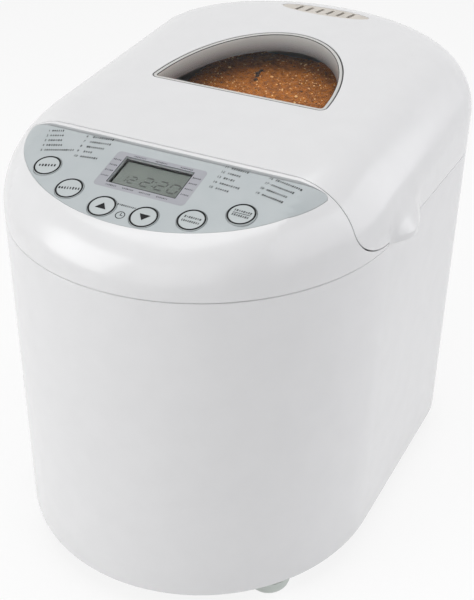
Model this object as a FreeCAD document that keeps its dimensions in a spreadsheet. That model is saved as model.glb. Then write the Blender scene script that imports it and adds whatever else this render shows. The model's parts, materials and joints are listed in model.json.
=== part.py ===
# A bread machine for the kitchen table: an oval white housing with a sloping key panel in
# front and a hinged lid with a window behind. Inside it are the baking chamber with its tube
# heater, the lift-out pan with the kneading blade, and a belt drive from a motor in the front
# compartment. Sizes are in millimetres. The floor is at height zero, the front faces -Y and the
# machine is the same left and right of the plane x = 0.
import FreeCAD, Part
import Sketcher
import math
import os

V = FreeCAD.Vector
doc = FreeCAD.newDocument("bread_machine")

# The driving sizes. Each row gives a name, a size and what it measures.
driving = [
    ("body_width", 236, "across the straight sides"),
    ("front_arc", 122, "depth of the rounded front"),
    ("side_run", 128, "length of the straight sides"),
    ("back_arc", 86, "depth of the rounded back"),
    ("body_height", 212, "lower edge of the housing to the seam under the lid"),
    ("foot_height", 12, "floor to the lower edge of the housing"),
    ("wall", 2.6, "moulded wall"),
    ("part_gap", 0.6, "seam between neighbouring mouldings"),
    ("seat_gap", 0.3, "assembly clearance round a seated piece"),
    ("run_gap", 0.05, "radial clearance of a turning shaft"),
    ("console_round", 30, "rounding of the top edge round the console"),
    ("lid_round", 40, "rounding of the top edge round the lid"),
    ("console_length", 83, "front of the housing to the front of the lid"),
    ("console_rise", 46.5, "seam to the panel plane at the lid"),
    ("console_slope", 16, "slope of the key panel in degrees"),
    ("lid_rise", 47, "seam to the top of the lid at its front"),
    ("lid_slope", 5.4, "slope of the lid top in degrees"),
    ("toe_length", 33, "rounded lower front corner of the lid, along the seam"),
    ("toe_height", 20, "rounded lower front corner of the lid, upward"),
    ("toe_edge", 2, "blunt end of the console under the lid corner"),
    ("lower_round", 3, "rounding of the lower edge"),
    ("lip_out", 9, "lift lip beyond the side of the lid"),
    ("lip_length", 50, "lift lip along the side"),
    ("lip_front", 35, "front of the lid to the front of the lift lip"),
    ("lip_edge", 3.5, "thickness of the lip at its edge"),
    ("lip_sweep", 20, "height of the hollow flare above the lip"),
    ("hinge_out", 4, "hinge axis behind the back of the housing"),
    ("knuckle_radius", 5, "outside of the hinge knuckles"),
    ("lid_knuckle", 56, "length of the lid's knuckle"),
    ("body_knuckle", 22, "length of each knuckle of the housing"),
    ("pin_radius", 2, "hinge pin"),
    ("panel_width", 192.6, "oval of the key panel, across"),
    ("panel_reach", 73.3, "middle of the panel's oval to its front"),
    ("panel_middle", 12, "middle of the panel's oval behind its straight edge"),
    ("panel_corner", 2.5, "rear corners of the panel"),
    ("film", 0.8, "thickness of the panel overlay"),
    ("display_width", 41.6, "display glass, across"),
    ("display_depth", 20.6, "display glass, along the slope"),
    ("display_back", 25.4, "lid front to the middle of the display, along the slope"),
    ("lens_thick", 2.2, "display glass"),
    ("module_rim", 4, "display module beyond its glass"),
    ("module_thick", 6, "display module"),
    ("board_thick", 1.6, "circuit boards"),
    ("key_radius", 8, "key cap"),
    ("key_proud", 0.4, "key cap above the panel"),
    ("key_flange", 1.2, "flange beyond the key cap"),
    ("key_travel", 0.8, "key stroke"),
    ("key_arc", 102, "circle the keys stand on"),
    ("key_step", 14.5, "angle between keys in degrees"),
    ("key_centre", 46.4, "middle of the key circle behind the lid front"),
    ("switch_side", 6, "push switch under each key"),
    ("window_width", 118, "lid window, across"),
    ("window_depth", 93.5, "lid window, front to back"),
    ("window_setback", 72.3, "front of the lid to the window"),
    ("window_corner", 5, "front corners of the window"),
    ("window_middle", 1, "middle of the window's oval before its straight edge"),
    ("bezel", 2.4, "visible width of the window frame"),
    ("pane_thick", 2.2, "window pane"),
    ("lid_depth", 9, "space between lid shell and liner"),
    ("sheet", 1, "thickness of the sheet steel"),
    ("vent_width", 64, "steam vent, across"),
    ("vent_depth", 13, "steam vent, front to back"),
    ("vent_back", 46, "back of the housing to the middle of the vent"),
    ("slot_width", 2.4, "slots of the steam vent"),
    ("slot_pitch", 7.6, "spacing of the slots of the steam vent"),
    ("screw_radius", 1.6, "shank of the tapping screws"),
    ("head_radius", 3.2, "head of the tapping screws"),
    ("head_thick", 1.8, "thickness of the screw heads"),
    ("base_recess", 1, "base plate above the lower edge of the housing"),
    ("base_thick", 3, "base plate"),
    ("post_height", 26, "posts on the base plate"),
    ("post_radius", 5, "posts on the base plate"),
    ("post_spread", 120, "posts, side to side"),
    ("foot_radius", 14, "feet"),
    ("foot_round", 7.5, "rounding of the feet"),
    ("foot_spread", 160, "feet, side to side"),
    ("foot_front", 55, "front of the housing to the front feet"),
    ("foot_back", 50, "back of the housing to the rear feet"),
    ("pan_back", 124, "back of the housing to the axis of the pan"),
    ("oven_width", 172, "baking chamber, across"),
    ("oven_depth", 168, "baking chamber, front to back"),
    ("oven_corner", 40, "upright corners of the baking chamber"),
    ("oven_rim", 8, "rim of the baking chamber on the deck"),
    ("deck_thick", 2.5, "deck round the baking chamber"),
    ("deck_drop", 1.8, "seam to the top of the deck"),
    ("chassis_thick", 2, "chassis plate"),
    ("chassis_width", 144, "chassis plate, across"),
    ("chassis_front", 40, "motor axis to the front of the chassis plate"),
    ("chassis_rear", 66, "pan axis to the back of the chassis plate"),
    ("bearing_height", 15, "chassis plate to the floor of the baking chamber"),
    ("bearing_radius", 12, "bearing housing"),
    ("bush_radius", 8, "bearing bushes"),
    ("bush_length", 6, "bearing bushes"),
    ("shaft_radius", 5, "drive shaft"),
    ("pulley_radius", 48, "driven pulley"),
    ("pulley_width", 11, "face of both pulleys"),
    ("pulley_drop", 8, "chassis plate to the pulleys"),
    ("pinion_radius", 10, "motor pulley"),
    ("belt_thick", 2.5, "drive belt"),
    ("belt_width", 8, "drive belt"),
    ("motor_front", 78, "front of the housing to the motor axis"),
    ("motor_radius", 38, "motor"),
    ("motor_height", 62, "motor"),
    ("motor_plate", 76, "square mounting plate of the motor"),
    ("grommet_height", 4, "rubber grommets under the motor"),
    ("grommet_radius", 6, "rubber grommets under the motor"),
    ("rotor_radius", 4, "motor shaft"),
    ("fan_radius", 34, "cooling fan"),
    ("fan_height", 9, "blades of the cooling fan"),
    ("seat_radius", 46, "pan seat"),
    ("seat_floor", 3, "floor of the pan seat"),
    ("seat_height", 14, "pan seat"),
    ("skirt_radius", 37, "foot ring under the pan"),
    ("skirt_height", 14.5, "foot ring under the pan"),
    ("skirt_wall", 3, "foot ring under the pan"),
    ("dog_radius", 17, "drive coupling"),
    ("dog_height", 6, "dogs on the drive coupling"),
    ("wing_length", 26, "wing under the pan"),
    ("wing_width", 7, "wing under the pan"),
    ("pan_width", 140, "pan, across"),
    ("pan_depth", 134, "pan, front to back"),
    ("pan_height", 134, "pan"),
    ("pan_corner", 24, "upright corners of the pan"),
    ("pan_round", 9, "lower edge of the pan"),
    ("pan_wall", 1.5, "wall of the pan"),
    ("pan_rim", 4, "rim of the pan"),
    ("spindle_radius", 4, "pan shaft"),
    ("blade_length", 46, "kneading blade from its axis"),
    ("blade_height", 22, "hub of the kneading blade"),
    ("bail_radius", 2.4, "wire of the pan handle"),
    ("bail_reach", 76, "pan handle from its pivot to its bar"),
    ("bail_drop", 9, "rim of the pan to the handle pivots"),
    ("bail_bend", 26, "bends of the pan handle"),
    ("bail_space", 4, "ear to the arm of the pan handle"),
    ("rod_radius", 3.2, "tube heater"),
    ("rod_lift", 20, "floor of the baking chamber to the tube heater"),
    ("rod_inset", 7, "wall of the baking chamber to the tube heater"),
    ("rod_bend", 24, "corner bends of the tube heater"),
    ("lead_spread", 48, "heater ends, side to side"),
    ("gland_radius", 6, "cord gland in the housing"),
    ("gland_bore", 3.4, "hole for the cord"),
    ("gland_rise", 34, "lower edge of the housing to the cord gland"),
    ("card_height", 62, "power board"),
    ("card_length", 70, "power board"),
    ("card_offset", 66, "power board from the middle"),
    ("post_front", 22, "motor axis to the front posts"),
    ("post_rear", 44, "pan axis to the rear posts"),
    ("deck_front", 10, "front of the lid to the front of the deck"),
    ("disc_thick", 3.6, "disc of the drive coupling"),
    ("key_sink", 1.4, "key flange below the console wall"),
    ("switch_height", 2.7, "push switch under each key"),
    ("bush_flange", 14, "flange of the bush under the pan"),
    ("bush_sleeve", 7, "sleeve of the bush in the pan floor"),
    ("bush_drop", 6, "bush below the pan floor"),
    ("blade_thick", 5, "kneading blade"),
    ("blade_crown", 27, "height of the kneading blade"),
    ("probe_radius", 2.5, "temperature sensor"),
    ("probe_in", 8, "temperature sensor inside the baking chamber"),
    ("probe_aside", 46, "temperature sensor from the middle"),
    ("bush_reach", 6, "heater bushes either side of the chamber wall"),
    ("clip_width", 12, "clips"),
]

# Levels and stations that follow from the driving sizes.
stations = [
    ("front_y", "-(dim.front_arc + dim.side_run + dim.back_arc + dim.hinge_out + dim.knuckle_radius) / 2"),
    ("front_mid_y", "front_y + dim.front_arc"),
    ("back_mid_y", "front_mid_y + dim.side_run"),
    ("back_y", "back_mid_y + dim.back_arc"),
    ("hinge_y", "back_y + dim.hinge_out"),
    ("seam_z", "dim.foot_height + dim.body_height"),
    ("lid_foot_z", "seam_z + dim.part_gap"),
    ("cut_y", "front_y + dim.console_length"),
    ("console_z", "seam_z + dim.console_rise"),
    ("lid_z", "seam_z + dim.lid_rise"),
    ("slope_cos", "cos(dim.console_slope)"),
    ("slope_sin", "sin(dim.console_slope)"),
    ("pan_y", "back_y - dim.pan_back"),
    ("motor_y", "front_y + dim.motor_front"),
    ("base_z", "dim.foot_height + dim.base_recess"),
    ("base_top_z", "base_z + dim.base_thick"),
    ("chassis_z", "base_top_z + dim.post_height"),
    ("chassis_top_z", "chassis_z + dim.chassis_thick"),
    ("pulley_z", "chassis_z - dim.pulley_drop - dim.pulley_width"),
    ("oven_z", "chassis_top_z + dim.bearing_height"),
    ("oven_floor_z", "oven_z + dim.sheet"),
    ("deck_top_z", "seam_z - dim.deck_drop"),
    ("deck_z", "deck_top_z - dim.deck_thick"),
    ("pan_z", "oven_floor_z + dim.seat_floor + dim.seat_gap + dim.skirt_height"),
    ("pan_floor_z", "pan_z + dim.pan_wall"),
    ("pan_top_z", "pan_z + dim.pan_height"),
    ("bail_z", "pan_top_z - dim.bail_drop"),
    ("motor_z", "chassis_top_z + dim.grommet_height"),
    ("motor_top_z", "motor_z + dim.motor_height"),
    ("module_n", "dim.wall + dim.seat_gap"),
    ("board_n", "module_n + dim.module_thick"),
    ("ear_x", "dim.pan_width / 2 + dim.pan_rim"),
    ("arm_x", "ear_x + dim.bail_space"),
    ("bail_hang", "acos((dim.pan_depth / 2 + dim.bail_radius + dim.seat_gap) / dim.bail_reach)"),
    ("coupling_z", "oven_floor_z + dim.sheet"),
    ("wing_z", "coupling_z + dim.disc_thick + dim.part_gap"),
    ("blade_z", "pan_floor_z + dim.bush_drop"),
    ("rod_z", "oven_floor_z + dim.rod_lift"),
    ("oven_front_y", "pan_y - dim.oven_depth / 2"),
    ("chassis_mid_y", "(pan_y + dim.chassis_rear + motor_y - dim.chassis_front) / 2"),
    ("chassis_length", "pan_y + dim.chassis_rear - motor_y + dim.chassis_front"),
    ("shaft_z", "pulley_z - dim.sheet"),
]

dim = doc.addObject("Spreadsheet::Sheet", "dim")
for row, (alias, number, meaning) in enumerate(driving, start=1):
    dim.set("A%d" % row, meaning)
    dim.set("B%d" % row, str(number))
    dim.setAlias("B%d" % row, alias)
doc.recompute()

lay = doc.addObject("Spreadsheet::Sheet", "lay")
for row, (alias, formula) in enumerate(stations, start=1):
    lay.set("A%d" % row, alias)
    lay.set("B%d" % row, "=" + formula)
    lay.setAlias("B%d" % row, alias)
doc.recompute()

driving_names = [name for name, number, meaning in driving]
nodes = []


def size(name):
    """The number behind a name of either sheet."""
    sheet = dim if name in driving_names else lay
    return float(sheet.get(name))


def node(feature, name):
    """Keep a finished piece under its own name."""
    feature.Label = name
    nodes.append(feature)
    return feature


def put(feature, x="0", y="0", z="0"):
    """Place a feature at a point given by three formulas."""
    for axis, formula in zip("xyz", (x, y, z)):
        feature.setExpression("Placement.Base." + axis, formula)
    return feature


def turn(feature, axis, degrees):
    """Turn a feature about its own origin."""
    feature.Placement = FreeCAD.Placement(V(0, 0, 0), FreeCAD.Rotation(axis, degrees))
    return feature


def on_panel(feature, across, along, out):
    """Place a feature in the frame of the sloping panel: across, along the slope, outward."""
    turn(feature, V(1, 0, 0), size("console_slope"))
    feature.setExpression("Placement.Rotation.Angle", "dim.console_slope")
    y = "lay.cut_y + (%s) * lay.slope_cos - (%s) * lay.slope_sin" % (along, out)
    z = "lay.console_z + (%s) * lay.slope_sin + (%s) * lay.slope_cos" % (along, out)
    return put(feature, across, y, z)


def box(name, length, width, height):
    """A block with one corner at its own origin."""
    block = doc.addObject("Part::Box", name)
    block.setExpression("Length", length)
    block.setExpression("Width", width)
    block.setExpression("Height", height)
    return block


def cylinder(name, radius, height):
    """A round bar upright on its own origin."""
    bar = doc.addObject("Part::Cylinder", name)
    bar.setExpression("Radius", radius)
    bar.setExpression("Height", height)
    return bar


def fuse(name, pieces):
    """Join several features into one."""
    joined = doc.addObject("Part::MultiFuse", name)
    joined.Shapes = pieces
    return joined


def cut(name, base, tools):
    """Take one or more tools away from a base."""
    result = doc.addObject("Part::Cut", name)
    result.Base = base
    result.Tool = tools[0] if len(tools) == 1 else fuse(name + "_tools", tools)
    return result


def group(name, pieces):
    """Equal pieces that share one node as separate solids."""
    together = doc.addObject("Part::Compound", name)
    together.Links = pieces
    return together


def formed(name, shape):
    """A feature whose shape is built from the sheet's sizes."""
    feature = doc.addObject("Part::Feature", name)
    feature.Shape = shape
    return feature


def outline(body, role, points):
    """A closed outline of straight lines; every corner is tied to two formulas."""
    sketch = body.newObject("Sketcher::SketchObject", body.Name + "_outline")
    plane = [face for face in body.Origin.OriginFeatures if face.Role == role][0]
    sketch.AttachmentSupport = [(plane, "")]
    sketch.MapMode = "FlatFace"
    corners = [V(float(lay.evalExpression(u)), float(lay.evalExpression(v)), 0) for u, v in points]
    count = len(corners)
    for i in range(count):
        sketch.addGeometry(Part.LineSegment(corners[i], corners[(i + 1) % count]), False)
    for i in range(count):
        sketch.addConstraint(Sketcher.Constraint("Coincident", i, 2, (i + 1) % count, 1))
    for i, (u, v) in enumerate(points):
        for kind, formula, start, axis in (("DistanceX", u, corners[i].x, -2),
                                           ("DistanceY", v, corners[i].y, -1)):
            if formula == "0":
                sketch.addConstraint(Sketcher.Constraint("PointOnObject", i, 1, axis))
            else:
                index = sketch.addConstraint(Sketcher.Constraint(kind, -1, 1, i, 1, start))
                sketch.setExpression("Constraints[%d]" % index, formula)
    return sketch


def turned(name, points):
    """A turned body: an outline of radius and height, revolved about the upright axis."""
    body = doc.addObject("PartDesign::Body", name)
    sketch = outline(body, "XZ_Plane", points)
    lathe = body.newObject("PartDesign::Revolution", name + "_turn")
    lathe.Profile = sketch
    lathe.ReferenceAxis = (sketch, ["V_Axis"])
    lathe.Angle = 360
    doc.recompute()
    return body


def padded(name, points, height):
    """A flat outline raised to a height."""
    body = doc.addObject("PartDesign::Body", name)
    sketch = outline(body, "XY_Plane", points)
    pad = body.newObject("PartDesign::Pad", name + "_pad")
    pad.Profile = sketch
    pad.setExpression("Length", height)
    doc.recompute()
    return body


def rounded(body, name, radius, wanted):
    """Round the edges of a body that answer a test."""
    tip = body.Tip
    names = ["Edge%d" % i for i, edge in enumerate(tip.Shape.Edges, start=1) if wanted(edge)]
    fillet = body.newObject("PartDesign::Fillet", name)
    fillet.Base = (tip, names)
    fillet.setExpression("Radius", radius)
    doc.recompute()
    return fillet


def upright(edge):
    """True for a straight upright edge."""
    ends = [vertex.Point for vertex in edge.Vertexes]
    return len(ends) == 2 and abs(ends[0].x - ends[1].x) + abs(ends[0].y - ends[1].y) < 1e-6


def lowest(edge):
    """True for an edge that lies in the plane of the body's own origin."""
    return abs(edge.BoundBox.ZMin) + abs(edge.BoundBox.ZMax) < 1e-6


def tray(name, width, depth, height, corner, low_round=None):
    """A block with rounded upright corners, its lower face centred on its own origin."""
    half = "(%s) / 2" % width
    deep = "(%s) / 2" % depth
    corners = [("-" + half, "-" + deep), (half, "-" + deep), (half, deep), ("-" + half, deep)]
    body = padded(name, corners, height)
    rounded(body, name + "_corners", corner, upright)
    if low_round:
        rounded(body, name + "_round", low_round, lowest)
    return body


def half_oval(mid_y, half, reach, level):
    """Half an oval from side to side, with its tip a reach behind (or before) mid_y."""
    centre = V(0, mid_y, level)
    side = V(half, mid_y, level)
    tip = V(0, mid_y + reach, level)
    longer = [side, tip] if half >= abs(reach) else [tip, side]
    oval = Part.Ellipse(longer[0], longer[1], centre)
    ends = [oval.parameter(side), oval.parameter(V(-half, mid_y, level))]
    arc = Part.ArcOfEllipse(oval, ends[0], ends[1])
    middle = arc.value((arc.FirstParameter + arc.LastParameter) / 2)
    if (middle - tip).Length > abs(reach):
        arc = Part.ArcOfEllipse(oval, ends[1], ends[0])
    return arc


def plan(inset, low, high):
    """The oval plan of the machine, drawn in by an inset, as a block between two levels."""
    half = size("body_width") / 2 - inset
    front = size("front_mid_y")
    back = size("back_mid_y")
    edges = [
        half_oval(front, half, inset - size("front_arc"), low).toShape(),
        half_oval(back, half, size("back_arc") - inset, low).toShape(),
        Part.LineSegment(V(half, front, low), V(half, back, low)).toShape(),
        Part.LineSegment(V(-half, front, low), V(-half, back, low)).toShape(),
    ]
    wire = Part.Wire(Part.__sortEdges__(edges))
    return Part.Face(wire).extrude(V(0, 0, high - low))


hulls = {}
hoods = {}


def hull(kind, inset):
    """The plan raised to the sloping top of the console or of the lid, with a round top edge."""
    if (kind, inset) not in hulls:
        crest = V(0, size("cut_y"), size(kind + "_z"))
        tilt = FreeCAD.Rotation(V(1, 0, 0), size(kind + "_slope"))
        block = plan(inset, size("foot_height"), crest.z + size("body_width"))
        reach = 4 * size("body_width")
        knife = Part.makeBox(reach, reach, reach, V(-reach / 2, -reach / 2, -inset))
        knife.Placement = FreeCAD.Placement(crest, tilt)
        block = block.cut(knife)
        normal = tilt.multVec(V(0, 0, 1))
        top = crest - normal * inset
        rim = [e for e in block.Edges if all(abs((v.Point - top).dot(normal)) < 1e-3 for v in e.Vertexes)]
        hulls[(kind, inset)] = block.makeFillet(size(kind + "_round") - inset, rim)
    return hulls[(kind, inset)]


def hood_at(inset):
    """The hull of the console, trimmed so that it meets the rounder edge of the lid flush."""
    if inset not in hoods:
        hoods[inset] = hull("console", inset).common(hull("lid", inset - size("run_gap")))
    return hoods[inset]


def layer(outer, inner):
    """The skin of the lid between two insets."""
    return hull("lid", outer).cut(hull("lid", inner))


def across(edges):
    """A block as wide as the room, from an outline in the plane of symmetry."""
    reach = 2 * size("body_width")
    face = Part.Face(Part.Wire(edges))
    face.translate(V(-reach, 0, 0))
    return face.extrude(V(2 * reach, 0, 0))


def front_side(shift):
    """All the room in front of the parting face between console and lid, moved back and up."""
    y = size("cut_y") + shift
    low = size("seam_z") + size("toe_edge") + shift
    tip = y + size("toe_length")
    rise = low + size("toe_height")
    far = size("front_y") - size("body_width")
    top = size("lid_z") + size("body_width")
    centre = V(0, tip, rise)
    spread = [V(0, y, rise), V(0, tip, low)]
    if size("toe_height") > size("toe_length"):
        spread.reverse()
    oval = Part.Ellipse(spread[0], spread[1], centre)
    ends = sorted([oval.parameter(V(0, y, rise)), oval.parameter(V(0, tip, low))])
    corner = Part.ArcOfEllipse(oval, ends[0], ends[1])
    if corner.length() > 2 * (size("toe_length") + size("toe_height")):
        corner = Part.ArcOfEllipse(oval, ends[1], ends[0])
    posts = [V(0, tip, low), V(0, tip, 0), V(0, far, 0), V(0, far, top), V(0, y, top), V(0, y, rise)]
    lines = [Part.LineSegment(a, b).toShape() for a, b in zip(posts, posts[1:])]
    return across(Part.__sortEdges__(lines + [corner.toShape()]))


def room(low, high, near=None):
    """A block of room between two levels, optionally only behind a station."""
    reach = 4 * size("body_width")
    front = -reach / 2 if near is None else near
    return Part.makeBox(reach, reach / 2 - front, high - low, V(-reach / 2, front, low))


def dee(flat_y, half, middle, reach, corner, inset):
    """An upright D-shaped prism: an oval cut off straight at flat_y, with rounded corners there."""
    way = 1 if reach > 0 else -1
    top = size("lid_z") + size("body_width")
    mid = flat_y - way * middle
    edge = flat_y + way * inset
    wide = half - inset
    bow = half_oval(mid, wide, reach - way * inset, 0).toShape()
    chord = Part.LineSegment(V(-wide, mid, 0), V(wide, mid, 0)).toShape()
    block = Part.Face(Part.Wire(Part.__sortEdges__([bow, chord]))).extrude(V(0, 0, top))
    behind = room(0, top, edge)
    block = block.common(behind) if way > 0 else block.cut(behind)
    corners = [side for side in block.Edges
               if len(side.Vertexes) == 2
               and side.Vertexes[0].Point.distanceToPoint(side.Vertexes[1].Point) > top / 2
               and abs(side.Vertexes[0].Y - edge) < size("run_gap")]
    return block.makeFillet(max(corner - inset, corner / 4), corners)


def bar_x(radius, start, end, y, z):
    """A round bar along X."""
    return Part.makeCylinder(radius, end - start, V(start, y, z), V(1, 0, 0))


# Stations along the hinge, shared by the housing and the lid.
hinge_z = size("seam_z") + size("part_gap") / 2
hinge_y = size("hinge_y")
knuckle = size("knuckle_radius")
lid_half = size("lid_knuckle") / 2
body_start = lid_half + size("part_gap")
body_end = body_start + size("body_knuckle")
pin_bore = size("pin_radius") + size("run_gap")
wall = size("wall")
gap = size("part_gap")
back_y = size("back_y")
seam_z = size("seam_z")


def hinge_web(start, end, low, high, depth):
    """The rib that ties a knuckle to its wall."""
    return Part.makeBox(end - start, hinge_y - back_y + depth, high - low, V(start, back_y - depth, low))


# The housing: the oval plan up to the seam, open above and below, with two hinge knuckles.
skin = hull("console", 0).common(room(0, seam_z))
lower = [e for e in skin.Edges if e.BoundBox.ZMax < size("foot_height") + 1e-3]
skin = skin.makeFillet(size("lower_round"), lower)
hollow = hull("console", wall)
shell = skin.cut(hollow)
for hand in (1, -1):
    start, end = sorted((hand * body_start, hand * body_end))
    ear = bar_x(knuckle, start, end, hinge_y, hinge_z)
    ear = ear.fuse(hinge_web(start, end, hinge_z - 2 * knuckle, hinge_z, 4 * wall))
    shell = shell.fuse(ear.cut(hollow))
shell = shell.cut(bar_x(knuckle + gap, -body_start, body_start, hinge_y, hinge_z))
shell = shell.cut(bar_x(pin_bore, -body_end, body_end, hinge_y, hinge_z))
gland_z = size("foot_height") + size("gland_rise")
gland_hole = Part.makeCylinder(
    size("gland_radius") + size("seat_gap"), 4 * wall, V(0, back_y - 2 * wall, gland_z), V(0, 1, 0)
)
node(formed("body_shell_form", shell.cut(gland_hole).removeSplitter()), "body_shell")

pin = node(cylinder("hinge_pin_bar", "dim.pin_radius",
                    "dim.lid_knuckle + 2 * dim.part_gap + 2 * dim.body_knuckle"),
           "hinge_pin")
turn(pin, V(0, 1, 0), 90)
put(pin, "-dim.lid_knuckle / 2 - dim.part_gap - dim.body_knuckle", "lay.hinge_y",
    "lay.seam_z + dim.part_gap / 2")

# The console: the front part of the hood, open below, with a shallow bed for the panel overlay.
panel_y = size("cut_y") - size("part_gap")
panel = (panel_y, size("panel_width") / 2, size("panel_middle"), -size("panel_reach"), size("panel_corner"))
hood = hood_at(0).common(front_side(0)).common(room(size("lid_foot_z"), 3 * seam_z))
hood = hood.cut(hood_at(wall).common(front_side(-wall)))
bed = dee(*panel, 0).cut(hood_at(size("film") + size("run_gap")))
film = dee(*panel, size("seat_gap") / 2).common(hood_at(0)).cut(hood_at(size("film")))

# The keys stand on a circle in the plane of the panel, three each side of the middle.
key_names = ["key_menu", "key_weight", "key_up", "key_down", "key_colour", "key_start"]
key_angles = [(place - 2.5) * size("key_step") for place in range(len(key_names))]
slope = FreeCAD.Rotation(V(1, 0, 0), size("console_slope"))
panel_frame = FreeCAD.Placement(V(0, size("cut_y"), size("console_z")), slope)
key_spots = []
for angle in key_angles:
    aside = size("key_arc") * math.sin(math.radians(angle))
    along = size("key_centre") - size("key_arc") * math.cos(math.radians(angle))
    key_spots.append(V(aside, along, 0))


def panel_holes(clearance):
    """Holes for the six keys and the display, square to the panel."""
    deep = size("console_round")
    holes = [Part.makeCylinder(size("key_radius") + clearance, deep, spot - V(0, 0, deep / 2))
             for spot in key_spots]
    wide = size("display_width") + 2 * clearance
    tall = size("display_depth") + 2 * clearance
    corner = V(-wide / 2, -size("display_back") - tall / 2, -deep / 2)
    holes.append(Part.makeBox(wide, tall, deep, corner))
    for hole in holes:
        hole.Placement = panel_frame.multiply(hole.Placement)
    return holes


for hole in panel_holes(size("seat_gap")):
    bed = bed.fuse(hole)
    film = film.cut(hole)
node(formed("console_cover_form", hood.cut(bed).removeSplitter()), "console_cover")
node(formed("panel_overlay_form", film.removeSplitter()), "panel_overlay")

# The lid: the rear part of the hood with a window opening, a vent opening and two lift lips.
lid_skin = hull("lid", 0).cut(front_side(gap)).common(room(size("lid_foot_z"), 3 * seam_z))
lid_hollow = hull("lid", wall).cut(front_side(gap + wall))
cover = lid_skin.cut(lid_hollow)
half = size("body_width") / 2
lip_y = size("cut_y") + size("lip_front")
lip_z = size("lid_foot_z")
lip_out = size("lip_out")
bulge = [(0.0, 0.0), (0.1, 0.55), (0.3, 1.0), (0.5, 0.93), (0.75, 0.5), (1.0, 0.0)]
flare = [(0.0, 1.0), (0.3, 0.42), (0.6, 0.14), (1.0, 0.0)]


def lip_outline(out, level):
    """The lip in plan at one level: a bulge on the side wall, closed inside the wall."""
    points = [V(half - wall / 8 + out * part * lip_out, lip_y + run * size("lip_length"), level)
              for run, part in bulge]
    curve = Part.BSplineCurve()
    curve.interpolate(points)
    inside = [V(half - wall / 2, point.y, level) for point in (points[-1], points[0])]
    rest = [points[-1], inside[0], inside[1], points[0]]
    lines = [Part.LineSegment(a, b).toShape() for a, b in zip(rest, rest[1:])]
    return Part.Wire([curve.toShape()] + lines)


edge_top = lip_z + size("lip_edge")
lip = Part.Face(lip_outline(1, lip_z)).extrude(V(0, 0, size("lip_edge")))
lip_steps = [lip_outline(out, edge_top + rise * size("lip_sweep")) for rise, out in flare]
lip = lip.fuse(Part.makeLoft(lip_steps, True))
cover = cover.fuse(lip).fuse(lip.mirror(V(0, 0, 0), V(1, 0, 0)))

ear = bar_x(knuckle, -lid_half, lid_half, hinge_y, hinge_z)
ear = ear.fuse(hinge_web(-lid_half, lid_half, size("lid_foot_z"), hinge_z + knuckle, 3 * wall))
cover = cover.fuse(ear.cut(lid_hollow).cut(room(0, size("lid_foot_z")).common(hull("console", 0))))
cover = cover.cut(bar_x(pin_bore, -lid_half, lid_half, hinge_y, hinge_z))

window_y = size("cut_y") + size("window_setback")
window = (window_y, size("window_width") / 2, size("window_middle"),
          size("window_depth") + size("window_middle"),
          size("window_corner"))
cover = cover.cut(dee(*window, 0))
vent_y = back_y - size("vent_back")


def vent_prism(grow):
    """The oval of the steam vent as an upright prism."""
    spread = [size("vent_width") / 2 + grow, size("vent_depth") / 2 + grow]
    oval = Part.Ellipse(V(0, vent_y, 0), max(spread), min(spread))
    return Part.Face(Part.Wire([oval.toShape()])).extrude(V(0, 0, 3 * seam_z))


cover = cover.cut(vent_prism(size("seat_gap")))

# Posts inside the lid take the screws of the liner. They stand against the side and rear walls.
post_in = wall + size("head_radius")
rear_run = half - post_in
lid_posts = []
for run in (0.2, 0.6):
    lid_posts.append(V(rear_run, lip_y + run * (size("back_mid_y") - lip_y) / 0.6, 0))
rear_turn = math.radians(52)
lid_posts.append(V(rear_run * math.cos(rear_turn),
                   size("back_mid_y") + (size("back_arc") - post_in) * math.sin(rear_turn), 0))
lid_posts = lid_posts + [V(-spot.x, spot.y, 0) for spot in lid_posts]
liner_z = size("lid_foot_z") + size("seat_gap")
flange_top = liner_z + size("sheet")
post_top = size("lid_foot_z") + size("toe_height")
for spot in lid_posts:
    post = Part.makeCylinder(size("head_radius") + size("seat_gap"), post_top - flange_top,
                             spot + V(0, 0, flange_top))
    pilot = Part.makeCylinder(size("screw_radius"), post_top - flange_top - wall,
                              spot + V(0, 0, flange_top))
    cover = cover.fuse(post.common(hull("lid", wall / 2))).cut(pilot)
node(formed("lid_shell_form", cover.removeSplitter()), "lid_shell")

# The liner: a second, smaller hood of sheet steel inside the lid, with a flange at its foot.
inner = wall + size("lid_depth")
core = inner + size("sheet")
dome_room = hull("lid", core).cut(front_side(gap + core))
dome = hull("lid", inner).cut(front_side(gap + inner)).common(room(liner_z, 3 * seam_z)).cut(dome_room)
rim_inset = wall + size("seat_gap")
flange = hull("lid", rim_inset).cut(front_side(gap + rim_inset))
flange = flange.common(room(liner_z, flange_top)).cut(dome_room)
liner = dome.fuse(flange).cut(dee(*window, -size("seat_gap")))
for spot in lid_posts:
    liner = liner.cut(Part.makeCylinder(size("screw_radius") + size("seat_gap"), 2 * wall,
                                        spot + V(0, 0, lip_z)))
steam = [V(place * size("slot_pitch"), vent_y, 0) for place in (-3, -1, 1, 3)]
for spot in steam:
    liner = liner.cut(Part.makeCylinder(size("slot_width"), 3 * seam_z, spot))
node(formed("lid_liner_form", liner.removeSplitter()), "lid_liner")

screws = []
for place, spot in enumerate(lid_posts):
    head = put(cylinder("lid_screw_head_%d" % place, "dim.head_radius", "dim.head_thick * 0.6"),
               str(spot.x), str(spot.y), "lay.lid_foot_z + dim.seat_gap - dim.head_thick * 0.6")
    shank = put(cylinder("lid_screw_shank_%d" % place, "dim.screw_radius", "dim.toe_height / 2"),
                str(spot.x), str(spot.y), "lay.lid_foot_z + dim.seat_gap")
    screws.append(fuse("lid_screw_%d" % place, [head, shank]))
node(group("lid_screw_set", screws), "lid_screws")

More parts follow.
